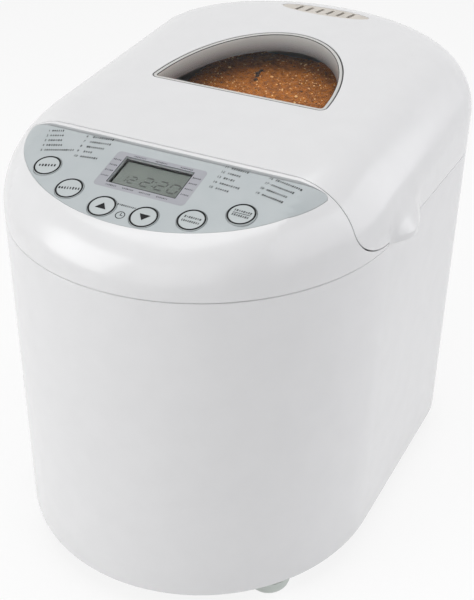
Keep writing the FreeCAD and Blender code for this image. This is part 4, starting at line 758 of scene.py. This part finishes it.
OVER_LID = leaned(LID)
SEAT, GASKET, BEZEL, FRAME_DEEP, BEAD = 0.3, 0.5, 2.4, 12.3, 0.45
frame_section = np.concatenate([
    [(-BEZEL, -FRAME_DEEP), (0.0, -FRAME_DEEP), (0.0, -1.2), (-GASKET, -1.2)],
    arc((-GASKET - BEAD, -BEAD), BEAD, 0, 90),
    arc((-BEZEL + BEAD, -BEAD), BEAD, 90, 180),
])
# The deep frame wears the painted shade that darkens with depth below the lid skin.
bezel = swept("window_bezel", dee(*WINDOW, SEAT), frame_section, depth_shaded_frame)
smooth(place(bezel, OVER_LID))
dress(bezel, "lid", "frame_grey", depth_shaded_frame, "window_frame")

gasket_section = [(0.0, -1.15), (0.0, -0.15), (-GASKET, -0.15), (-GASKET, -1.15)]
seal_section = [(0.0, -0.75), (0.0, -0.4), (-0.35, -0.4), (-0.35, -0.75)]
seal = joined("window_seal", [
    swept("gasket", dee(*WINDOW, SEAT), gasket_section, finishes["dark_rubber"]),
    swept("seal", dee(*WINDOW, SEAT + BEZEL), seal_section, finishes["dark_rubber"])])
smooth(place(seal, OVER_LID))
dress(seal, "lid", "dark_rubber", finishes["dark_rubber"])

# %% [markdown]
# ## The steam vent
# The vent is an oval plate with a row of slanting slots. The tree puts a block on every point of a line,
# turns it, and takes all the blocks away from the plate in one step.

# %% A tree for a slotted plate
vents, given = new_tree("Slotted plate", Count="Int", Start="Vector", Step="Vector", Slot="Vector",
                        Slant="Float", Finish="Material")
spots = link(vents, "GeometryNodeMeshLine", Count=given["Count"], Start_Location=given["Start"],
             Offset=given["Step"])
block = link(vents, "GeometryNodeMeshCube", Size=given["Slot"])
turned = link(vents, "ShaderNodeCombineXYZ", Z=given["Slant"])
turned = link(vents, "FunctionNodeEulerToRotation", Euler=turned.outputs[0])
blocks = link(vents, "GeometryNodeInstanceOnPoints", Points=spots.outputs[0], Instance=block.outputs[0],
              Rotation=turned.outputs[0])
blocks = link(vents, "GeometryNodeRealizeInstances", Geometry=blocks.outputs[0])
opened = vents.nodes.new("GeometryNodeMeshBoolean")
opened.operation, opened.solver = "DIFFERENCE", "EXACT"
vents.links.new(given["Geometry"], opened.inputs["Mesh 1"])
vents.links.new(blocks.outputs[0], opened.inputs["Mesh 2"])
end_tree(vents, opened.outputs["Mesh"], given["Finish"])

# %% The steam vent
SLOTS, SLOT_PITCH, SLOT_WIDE, SLOT_LONG = 6, 7.6, 2.4, 7.8
first = -(SLOTS - 1) / 2 * SLOT_PITCH
vent = prism("steam_vent_plate", oval(VENT_WIDE, VENT_DEEP, (0.0, VENT_Y)), -3.6, -0.3, "Z")
soften(vent, 0.6)
grow(vent, vents, Count=SLOTS, Start=(first * MM, VENT_Y * MM, 0.0), Step=(SLOT_PITCH * MM, 0.0, 0.0),
     Slot=(SLOT_WIDE * MM, SLOT_LONG * MM, 0.02), Slant=math.radians(-20.0), Finish=finishes["vent_beige"])
smooth(place(vent, OVER_LID))
dress(vent, "lid", "vent_beige", finishes["vent_beige"], "steam_vent")

# %% [markdown]
# ## Keys
# A key is turned from its half outline, as on a lathe. Its thin black ring is a flat section swept round
# a circle. Each key rides its own body, so it can be pressed on its own.


# %% Turned pieces
def lathe(name, profile, steps=64):
    """A turned solid from its half outline (radius, height), which starts and ends on the axis."""
    rings = [np.column_stack([circle(r, steps=steps), np.full(steps, h)]) for r, h in profile[1:-1]]
    ends = [(0.0, 0.0, profile[0][1]), (0.0, 0.0, profile[-1][1])]
    points = np.concatenate(rings + [ends])
    low, high, last = len(points) - 2, len(points) - 1, (len(rings) - 1) * steps
    faces = []
    for i in range(steps):
        j = (i + 1) % steps
        faces.append([low, j, i])
        faces.append([high, last + i, last + j])
        faces += [[s + i, s + j, s + steps + j, s + steps + i] for s in range(0, last, steps)]
    return smooth(piece(name, points, faces))


# %% A tree for small print
words, given = new_tree("Print rows", Spacing="Float", Letter="Vector", Seed="Int", Finish="Material")
rows = link(words, "GeometryNodeMeshToCurve", Mesh=given["Geometry"])
spots = link(words, "GeometryNodeCurveToPoints", Curve=rows.outputs[0])
spots.mode = "LENGTH"
words.links.new(given["Spacing"], spots.inputs["Length"])
letter = link(words, "GeometryNodeMeshCube", Size=given["Letter"])
vary = link(words, "FunctionNodeRandomValue", Seed=given["Seed"])
vary.data_type = "FLOAT_VECTOR"
vary.inputs[0].default_value, vary.inputs[1].default_value = (0.55, 0.7, 1.0), (1.25, 1.0, 1.0)
marks = link(words, "GeometryNodeInstanceOnPoints", Points=spots.outputs[0], Instance=letter.outputs[0],
             Scale=vary.outputs[0])
end_tree(words, marks.outputs[0], given["Finish"])

INK = 0.06


def print_rows(name, rows, tall=1.6, seed=1):
    """Rows of small plain marks. A row is (x, y, length) in the plane of the panel."""
    points = [(x + part, y, INK / 2) for x, y, length in rows for part in (0.0, length)]
    made = wires(name, points, [(i, i + 1) for i in range(0, len(points), 2)])
    return grow(made, words, Spacing=0.72 * tall * MM, Letter=(0.4 * tall * MM, tall * MM, INK * MM),
                Seed=seed, Finish=ink)


def ring(name, radius, wide, middle=(0.0, 0.0)):
    """A flat printed ring."""
    flat = [(-wide, 0.0), (0.0, 0.0), (0.0, INK), (-wide, INK)]
    return swept(name, circle(radius, middle), flat, ink)


def spun(made, middle, angle):
    """Turns a flat print about a point of the panel, in degrees."""
    there = Matrix.Translation(Vector((*middle, 0.0)) * MM)
    return place(made, there @ Matrix.Rotation(math.radians(angle), 4, "Z") @ there.inverted())


# %% The keys and what is printed on them
KEY_PROUD, KEY_EDGE = 0.4, 0.35
key_profile = [(0.0, -5.3), (2.0, -5.3), (2.0, -5.0), (9.2, -5.0), (9.2, -4.0), (KEY_RADIUS, -4.0)]
key_profile += arc((KEY_RADIUS - KEY_EDGE, KEY_PROUD - KEY_EDGE), KEY_EDGE, 0, 90).tolist()
key_profile.append((0.0, KEY_PROUD))
ARROW = 3.3
arrow_up = [(-ARROW, -0.55 * ARROW), (ARROW, -0.55 * ARROW), (0.0, 0.8 * ARROW)]
arrow_down = [(-x, -y) for x, y in arrow_up]
key_words = {
    "menu": ([(-4.4, 0.0, 8.8)], 16.0), "weight": ([(-5.6, 0.0, 11.2)], 12.0),
    "colour": ([(-4.4, 1.5, 8.8), (-4.8, -1.5, 9.6)], 0.0),
    "start": ([(-4.6, 1.9, 9.2), (-4.4, -1.5, 8.8)], -2.0),
}
for number, (name, spot) in enumerate(zip(KEYS, key_spots)):
    there = ON_PANEL @ Matrix.Translation(Vector((*spot, 0.0)) * MM)
    cap = place(lathe("key_cap_" + name, key_profile), there)
    dress(cap, "button_" + name, "key_plastic", finishes["key_plastic"], "key_" + name)
    marks = [ring("ring", 7.8, 1.0)]
    if name in key_words:
        label, angle = key_words[name]
        marks.append(spun(print_rows("label", label, 2.6 - 0.5 * len(label), number), (0.0, 0.0), angle))
    else:
        marks.append(prism("arrow", arrow_up if name == "up" else arrow_down, 0.0, INK, "Z"))
    if name == "start":
        marks.append(prism("bar", rectangle(10.0, 0.35, (0.1, 0.2)), 0.0, INK, "Z"))
    marks = joined("key_print_" + name, marks)
    place(marks, there @ Matrix.Translation((0.0, 0.0, (KEY_PROUD + 0.01) * MM)))
    dress(marks, "button_" + name, "dark_plastic", ink)

# %% [markdown]
# ## The display
# The display lies at the bottom of a dark well under a thin clear lens. Seen from the front right, the
# back and left walls of the well show as a dark edge. The digits are built from straight segments.

# %% The display
LENS, WELL, GLASS_Y = 0.8, 2.3, DISPLAY[2]
hole = rectangle(DISPLAY[0], DISPLAY[1], (0.0, GLASS_Y))
lens = place(prism("display_lens", hole, -0.2 - LENS, -0.2, "Z"), ON_PANEL)
dress(lens, "housing", "clear_pane", finishes["clear_pane"], "display_window")

well_section = [(0.0, -WELL - 0.3), (0.0, -0.25 - LENS), (-0.5, -0.25 - LENS), (-0.5, -WELL - 0.3)]
well = place(swept("display_well", hole, well_section, finishes["dark_plastic"]), ON_PANEL)
dress(well, "housing", "dark_plastic", finishes["dark_plastic"])

face = rectangle(DISPLAY[0] - 1.2, DISPLAY[1] - 1.2, (0.0, GLASS_Y))
face = place(prism("display_face", face, -WELL - 0.5, -WELL, "Z"), ON_PANEL)
dress(face, "housing", "display_olive", finishes["display_olive"])

SEGMENTS = {"0": "abcdef", "1": "bc", "2": "abged"}


def digit(sign, corner, wide, tall, bar):
    """The bars of one digit, with its lower left corner at a given point."""
    x, y = corner
    half, gap = tall / 2, 0.25
    lying = {"a": tall, "g": half, "d": 0.0}
    standing = {"b": (wide, half), "c": (wide, 0.0), "e": (0.0, 0.0), "f": (0.0, half)}
    bars = []
    for part in SEGMENTS[sign]:
        if part in lying:
            flat = rectangle(wide - bar - gap, bar, (x + wide / 2, y + lying[part]))
        else:
            aside, rise = standing[part]
            flat = rectangle(bar, half - bar - gap, (x + aside, y + rise + half / 2))
        bars.append(prism("bar", flat, 0.0, INK, "Z"))
    return bars


DIGIT_FOOT = GLASS_Y - 6.0
bars = digit("1", (-17.0, DIGIT_FOOT), 4.0, 5.2, 0.8) + digit("2", (-11.4, DIGIT_FOOT), 4.0, 5.2, 0.8)
for sign, x in (("2", -3.4), ("2", 5.6), ("0", 13.4)):
    bars += digit(sign, (x, DIGIT_FOOT), 5.2, 6.9, 0.9)
for rise in (1.6, 5.2):
    bars.append(prism("dot", rectangle(0.9, 0.9, (3.9, DIGIT_FOOT + rise)), 0.0, INK, "Z"))
digits = joined("display_digits", bars)
LEAN = 0.16
slanted = Matrix(((1, LEAN, 0, -LEAN * GLASS_Y * MM), (0, 1, 0, 0),
                  (0, 0, 1, (0.01 - WELL) * MM), (0, 0, 0, 1)))
place(digits, ON_PANEL @ slanted)
dress(digits, "housing", "dark_plastic", faint)

# %% [markdown]
# ## Print on the panel
# Print is drawn flat and then laid on the console, so it follows the film where that bends down at the
# ends. Lists are plain numbers with rows of marks beside them, turned a little like a fan.


# %% Lay print on the console
def wrap(made):
    """Lays a flat print on the skin of the console."""
    flat = np.array([v.co for v in made.data.vertices]) / MM
    spots = np.column_stack([flat[:, 0], CUT_Y + flat[:, 1] * math.cos(CONSOLE["slope"])])
    level, normal = skin(HOOD, spots)[:2]
    laid = np.column_stack([spots, level]) + normal * (flat[:, 2:] + 0.01)
    made.data.vertices.foreach_set("co", (laid * MM).ravel())
    made.data.update()
    return made


def numbers(name, first, count, pitch, tall):
    """A column of plain numbers, one below the other, from the origin downward."""
    text = bpy.data.curves.new(name, "FONT")
    text.body = "\n".join(str(first + row) for row in range(count))
    text.size, text.space_line, text.extrude = tall / 0.7 * MM, 0.7 * pitch / tall, INK / 2 * MM
    made = bpy.data.objects.new(name, text)
    bpy.context.scene.collection.objects.link(made)
    graph = bpy.context.evaluated_depsgraph_get()
    solid = bpy.data.objects.new(name, bpy.data.meshes.new_from_object(made.evaluated_get(graph)))
    weld(solid)
    bpy.context.scene.collection.objects.link(solid)
    bpy.data.objects.remove(made)
    return place(solid, Matrix.Translation((0.0, -tall / 2 * MM, INK / 2 * MM)))


# %% The printed lists
ROW_PITCH, PRINT_TALL = 4.3, 1.7
lists = [
    ((-77.5, -9.0), 18.0, 1, (6.2, 7.0, 7.2, 8.4, 16.5)),
    ((-53.0, -6.2), 7.0, 6, (12.0, 12.0, 9.8, 4.2, 9.6)),
    ((34.8, -4.4), -3.0, 11, (9.4, 6.8, 5.6, 11.0, 6.8)),
    ((61.5, -5.0), -9.0, 16, (15.4, 13.2, 11.8, 12.0)),
]
prints = []
for (x, y), angle, first, lengths in lists:
    wide = 2.8 if first < 6 else 4.6
    rows = [(x + wide, y - n * ROW_PITCH, length) for n, length in enumerate(lengths)]
    column = numbers("numbers", first, len(lengths), ROW_PITCH, PRINT_TALL)
    place(column, Matrix.Translation(Vector((x, y, 0.0)) * MM))
    for part in (column, print_rows("words", rows, PRINT_TALL, first)):
        prints.append(spun(part, (x, y), angle))
prints.append(print_rows("timer", [(-5.4, -50.2, 10.4)], 1.5, 3))
prints += [ring("clock", 2.75, 0.45, (0.0, -57.4)),
           prism("hand", rectangle(0.4, 1.9, (0.0, -56.6)), 0.0, INK, "Z"),
           prism("hand", rectangle(1.5, 0.4, (0.7, -57.6)), 0.0, INK, "Z")]

# %% The surround of the display
captions = [(x, -13.0, 6.8) for x in (-17.0, -3.4, 12.4)]
captions += [(side, -18.4 - 4.6 * n, 4.0) for side in (-27.0, 22.8) for n in range(4)]
captions += [(x, -38.3, 6.0) for x in (-20.4, -9.8, 0.8, 11.4)]
prints.append(print_rows("captions", captions, 1.2, 8))
edge_section = [(0.0, 0.0), (0.55, 0.0), (0.55, INK), (0.0, INK)]
opening = rectangle(DISPLAY[0] + 0.7, DISPLAY[1] + 0.7, (0.0, GLASS_Y))
prints.append(swept("edge", opening, edge_section, ink))
panel_print = wrap(joined("panel_print", prints))
dress(panel_print, "housing", "dark_plastic", ink)

tint = prism("display_surround", rectangle(56.5, 29.2, (0.2, -25.9), 2.5), -0.05, 0.0, "Z")
carve(tint, prism("hole", opening, -1.0, 1.0, "Z"))
dress(place(tint, ON_PANEL @ Matrix.Translation((0.0, 0.0, 0.058 * MM))), "housing", "panel_film", tinted)

# %% [markdown]
# ## The loaf
# The baked loaf fills the pan and rises above its rim. Its plain form is a rounded block with a shoulder.
# A tree then roughens the crust with two sizes of noise, and a second tree scatters crumbs over it,
# and near-black specks that paint the shade in its pits. A row of flat dark beads paints the shade in the
# split of the crust near the middle.


# %% The plain loaf
def even(loop, count):
    """Points at even steps along a closed line."""
    closed = np.concatenate([loop, loop[:1]])
    run = np.concatenate([[0.0], np.cumsum(np.linalg.norm(np.diff(closed, axis=0), axis=1))])
    steps = np.linspace(0.0, run[-1], count, endpoint=False)
    return np.stack([np.interp(steps, run, closed[:, i]) for i in (0, 1)], 1)


LOAF_WIDE, LOAF_DEEP, LOAF_CORNER, LOAF_FOOT, LOAF_TOP = 135.6, 129.6, 21.0, 116.0, 256.5
AROUND = 300
loaf_rim = even(rectangle(LOAF_WIDE, LOAF_DEEP, (0.0, PAN_Y), LOAF_CORNER, 12), AROUND)
loaf_middle = np.array([0.0, PAN_Y])
front = np.clip((PAN_Y - loaf_rim[:, 1]) / (LOAF_DEEP / 2), 0.0, 1.0) ** 3
shoulder, reach = 246.0 - 28.0 * front, 9.0 + 31.0 * front
crown = LOAF_TOP + 0.09 * (loaf_rim[:, 1] - PAN_Y)
loaf_rings = [(np.zeros(AROUND), LOAF_FOOT + share * (shoulder - LOAF_FOOT))
              for share in np.linspace(0, 1, 30)[:-1]]
for turn in np.linspace(0.0, math.pi / 2, 18):
    loaf_rings.append((reach * (1 - math.cos(turn)), shoulder + (crown - shoulder) * math.sin(turn)))
for share in np.linspace(0.0, 0.97, 26)[1:]:
    loaf_rings.append((reach + share * (LOAF_DEEP / 2 - reach), crown + share * (LOAF_TOP + 1.0 - crown)))
points = []
for inset, level in loaf_rings:
    spots = loaf_middle + (loaf_rim - loaf_middle) * (1 - inset / (LOAF_DEEP / 2))[:, None]
    points.append(np.column_stack([spots, level]))
last = AROUND * (len(points) - 1)
faces = [list(range(AROUND))[::-1], list(range(last, last + AROUND))]
for low in range(0, last, AROUND):
    for i in range(AROUND):
        j = (i + 1) % AROUND
        faces.append([low + i, low + j, low + AROUND + j, low + AROUND + i])
loaf = piece("loaf", np.concatenate(points), faces)

# %% A tree for the crust
crust, given = new_tree("Baked crust", Swell="Float", Grain="Float", Rim="Float", Finish="Material")
where = crust.nodes.new("GeometryNodeInputPosition").outputs[0]
level = link(crust, "ShaderNodeSeparateXYZ", Vector=where).outputs["Z"]
above = link(crust, "ShaderNodeMath", Value=level)
above.operation = "GREATER_THAN"
crust.links.new(given["Rim"], above.inputs[1])
out = crust.nodes.new("GeometryNodeInputNormal").outputs[0]
moved = given["Geometry"]
for size, amount in ((70.0, given["Swell"]), (420.0, given["Grain"])):
    bumps = link(crust, "ShaderNodeTexNoise", Vector=where, Scale=size, Detail=3.0)
    lift = link(crust, "ShaderNodeMath", Value=bumps.outputs[0])
    lift.operation = "SUBTRACT"
    lift.inputs[1].default_value = 0.5
    lift = link(crust, "ShaderNodeMath", Value=lift.outputs[0])
    lift.operation = "MULTIPLY"
    crust.links.new(amount, lift.inputs[1])
    way = link(crust, "ShaderNodeVectorMath", Vector=out)
    way.operation = "SCALE"
    crust.links.new(lift.outputs[0], way.inputs["Scale"])
    moved = link(crust, "GeometryNodeSetPosition", Geometry=moved, Selection=above.outputs[0],
                 Offset=way.outputs[0]).outputs[0]
end_tree(crust, moved, given["Finish"])

# %% A tree for crumbs
crumbs, given = new_tree("Crumbs", Density="Float", Size="Float", Seed="Int", Finish="Material")
up = crumbs.nodes.new("GeometryNodeInputNormal").outputs[0]
up = link(crumbs, "ShaderNodeSeparateXYZ", Vector=up).outputs["Z"]
upper = link(crumbs, "ShaderNodeMath", Value=up)
upper.operation = "GREATER_THAN"
upper.inputs[1].default_value = 0.4
spots = link(crumbs, "GeometryNodeDistributePointsOnFaces", Mesh=given["Geometry"],
             Selection=upper.outputs[0], Density=given["Density"], Seed=given["Seed"])
crumb = link(crumbs, "GeometryNodeMeshIcoSphere", Radius=given["Size"], Subdivisions=2)
vary = link(crumbs, "FunctionNodeRandomValue", Seed=given["Seed"])
vary.data_type = "FLOAT_VECTOR"
vary.inputs[0].default_value, vary.inputs[1].default_value = (0.3, 0.3, 0.2), (1.5, 1.0, 0.7)
bits = link(crumbs, "GeometryNodeInstanceOnPoints", Points=spots.outputs[0], Instance=crumb.outputs[0],
            Rotation=spots.outputs["Rotation"], Scale=vary.outputs[0])
end_tree(crumbs, bits.outputs[0], given["Finish"])

# %% Bake the loaf
brown = finish("crust", ((108, 60, 20), (164, 98, 34)), (0.6, 0.8), grain=320.0, bump=0.4, fine=1200.0,
               Specular_IOR_Level=0.2)
pale = finish("crumb", ((206, 158, 92), (232, 196, 136)), (0.6, 0.8))
# Near-black specks and beads paint the shade that falls inside pits and the split of the crust.
pit_and_split_shade = finish("burnt spot", ((34, 20, 12), (52, 30, 16)), (0.6, 0.8))
grow(loaf, crust, Swell=0.004, Grain=0.0022, Rim=0.216, Finish=brown)
for name, density, size, seed, look in (("loaf_crumbs", 34000.0, 0.00055, 4, pale),
                                        ("loaf_flakes", 2600.0, 0.0011, 6, pale),
                                        # The dark pits are painted shade of holes in the crust.
                                        ("loaf_pits", 9000.0, 0.0007, 9, pit_and_split_shade)):
    bits = bpy.data.objects.new(name, loaf.data.copy())
    bpy.context.scene.collection.objects.link(bits)
    grow(bits, crumbs, Density=density, Size=size, Seed=seed, Finish=look)
    dress(smooth(bits), "pan", None, look)
dress(smooth(loaf, 80.0), "pan", None, brown)

# %% The split in the crust
bead = arc((0.0, 0.0), 1.0, -90, 90, 12)
bead_spots = [(-22.5, 65.8, 260.2), (-22.9, 62.0, 259.7), (-21.7, 58.2, 259.1), (-20.2, 53.0, 258.8)]
bead_sizes = [(1.2, 2.2, 0.9), (1.7, 2.7, 0.9), (1.2, 2.2, 0.9), (1.3, 1.7, 0.9)]
# The dark beads are painted shade in the split of the crust.
split = joined("loaf_split", [
    place(lathe("bead", bead, 24), Matrix.Translation(Vector(spot) * MM) @ Matrix.Diagonal((*size, 1.0)))
    for spot, size in zip(bead_spots, bead_sizes)])
dress(smooth(split), "pan", None, pit_and_split_shade)

# %% [markdown]
# ## Feet and hinge
# One foot is turned, and a tree copies it to the four corners. The hinge has an ear on each side on the
# housing and a knuckle between them on the lid, with the steel pin of the model through all three.

# %% The feet
copies, given = new_tree("Copies", Original="Object", Finish="Material")
shown = link(copies, "GeometryNodeObjectInfo", Object=given["Original"])
many = link(copies, "GeometryNodeInstanceOnPoints", Points=given["Geometry"],
            Instance=shown.outputs["Geometry"])
end_tree(copies, many.outputs[0], given["Finish"])

FOOT_WIDE, FOOT_BEND = 14.0, 7.5
foot_profile = [(0.0, 0.0), (FOOT_WIDE - FOOT_BEND, 0.0)]
foot_profile += arc((FOOT_WIDE - FOOT_BEND, FOOT_BEND), FOOT_BEND, -80, 0, 12).tolist()
foot_profile += [(FOOT_WIDE, 11.6), (FOOT_WIDE - 0.4, FOOT - 0.2), (7.0, FOOT - 0.2), (7.0, 13.0),
                 (0.0, 13.0)]
one_foot = lathe("one_foot", foot_profile)
corners = [(x, y, 0.0) for y in (-117.5, 113.5) for x in (-80.0, 80.0)]
feet = grow(wires("feet", corners, []), copies, Original=one_foot, Finish=finishes["foot_rubber"])
bpy.data.objects.remove(one_foot)
smooth(feet)
dress(feet, "housing", "foot_rubber", finishes["foot_rubber"],
      *["foot_%s_%s" % (end, side) for end in ("front", "rear") for side in ("left", "right")])

# %% The hinge
EAR_LONG, ear_start = 22.0, LID_HALF + SEAM_GAP
ear_outline = np.concatenate([
    [(148.0, 206.0)], arc((HINGE_Y, HINGE_Z), KNUCKLE, -50, 205, 24), [(148.0, 222.0)]])
ears = joined("hinge_ears", [
    soften(prism("ear", ear_outline, side * ear_start, side * (ear_start + EAR_LONG), "X"), 0.5)
    for side in (-1, 1)])
dress(smooth(ears), "housing", "white_plastic", finishes["white_plastic"])

knuckle_outline = np.concatenate([
    [(157.5, LID_FOOT + 0.2), (BACK_Y + 0.4, LID_FOOT + 0.2)],
    arc((HINGE_Y, HINGE_Z), KNUCKLE, 224, 450, 24), [(157.5, HINGE_Z + KNUCKLE)]])
knuckle = soften(prism("hinge_knuckle", knuckle_outline, -LID_HALF, LID_HALF, "X"), 0.5)
dress(smooth(knuckle), "lid", "white_plastic", finishes["white_plastic"])

# %% [markdown]
# ## Camera, light and floor
# A camera is placed by its position and three angles. Large soft lamps on both sides leave the middle of
# the front a little darker, as on a product photograph. World and floor are white to the camera, to
# mirrors and to glass, but the world gives only a part of that as light.

# %% The camera
eye = Vector((282.8, -564.7, 520.6)) * MM
azimuth, elevation, roll = (math.radians(a) for a in (26.98, 32.25, 0.82))
back = Vector((math.sin(azimuth) * math.cos(elevation), -math.cos(azimuth) * math.cos(elevation),
               math.sin(elevation)))
right = Vector((math.cos(azimuth), math.sin(azimuth), 0.0))
up = back.cross(right)
right, up = (right * math.cos(roll) + up * math.sin(roll), up * math.cos(roll) - right * math.sin(roll))
camera = bpy.data.objects.new("camera", bpy.data.cameras.new("camera"))
camera.data.lens, camera.data.sensor_width = 65.39, 36.0
turned = Matrix((right, up, back)).transposed().to_4x4()
camera.matrix_world = Matrix.Translation(eye) @ turned
camera.data.clip_start, camera.data.clip_end = 0.01, 50.0
bpy.context.scene.collection.objects.link(camera)
bpy.context.scene.camera = camera
print("camera at", [round(v, 3) for v in eye])


# %% Lamps, world and floor
def lamp(name, spot, aim, side, power, tint=(1.0, 1.0, 1.0)):
    """A square soft lamp that looks at a point."""
    light = bpy.data.lights.new(name, "AREA")
    light.size, light.energy, light.color = side, power, tint
    made = bpy.data.objects.new(name, light)
    made.location = spot
    made.rotation_euler = (Vector(aim) - Vector(spot)).to_track_quat("-Z", "Y").to_euler()
    bpy.context.scene.collection.objects.link(made)
    return made


def met(tree, path):
    """One for a ray from the camera, a mirror or glass, and zero for a ray that only carries light."""
    found = path.outputs["Is Camera Ray"]
    for other in ("Is Transmission Ray", "Is Glossy Ray"):
        larger = link(tree, "ShaderNodeMath", Value=found)
        larger.operation = "MAXIMUM"
        tree.links.new(path.outputs[other], larger.inputs[1])
        found = larger.outputs[0]
    return found


middle = (0.0, 0.0, 0.15)
lamp("left lamp", (-1.1, -1.3, 0.9), middle, 1.2, 15.7)
lamp("front lamp", (0.3, -1.7, 0.7), middle, 1.2, 4.4)
lamp("right lamp", (1.5, -0.2, 0.8), middle, 1.2, 5.8, (0.98, 0.98, 1.0))
lamp("back lamp", (1.3, 0.9, 0.7), middle, 1.2, 7.2, (0.98, 0.98, 1.0))
lamp("top lamp", (-0.1, 0.1, 1.7), middle, 1.4, 14.1)

world = bpy.data.worlds.new("studio")
bpy.context.scene.world = world
world.use_nodes = True
sky = world.node_tree
path = sky.nodes.new("ShaderNodeLightPath")
strength = link(sky, "ShaderNodeMapRange", Value=met(sky, path))
strength.inputs["To Min"].default_value, strength.inputs["To Max"].default_value = 0.08, 1.0
ground = sky.nodes["Background"]
ground.inputs["Color"].default_value = (1.0, 1.0, 1.0, 1.0)
sky.links.new(strength.outputs[0], ground.inputs["Strength"])

floor = piece("floor", [(-6000, -6000, -0.2), (6000, -6000, -0.2), (6000, 6000, -0.2), (-6000, 6000, -0.2)],
              [[0, 1, 2, 3]])
paper = finish("paper", ((246, 246, 246), (250, 250, 250)), (0.8, 0.9), grain=3.0)
tree = paper.node_tree
glow = link(tree, "ShaderNodeEmission", Strength=1.0)
mix = link(tree, "ShaderNodeMixShader")
path = tree.nodes.new("ShaderNodeLightPath")
part = link(tree, "ShaderNodeMath", Value=met(tree, path))
part.operation = "MULTIPLY"
part.inputs[1].default_value = 0.86
tree.links.new(part.outputs[0], mix.inputs[0])
tree.links.new(tree.nodes["Principled BSDF"].outputs[0], mix.inputs[1])
tree.links.new(glow.outputs[0], mix.inputs[2])
tree.links.new(mix.outputs[0], tree.nodes["Material Output"].inputs["Surface"])
floor.data.materials.append(paper)
bpy.context.scene.view_settings.view_transform = "Standard"
print("studio made")
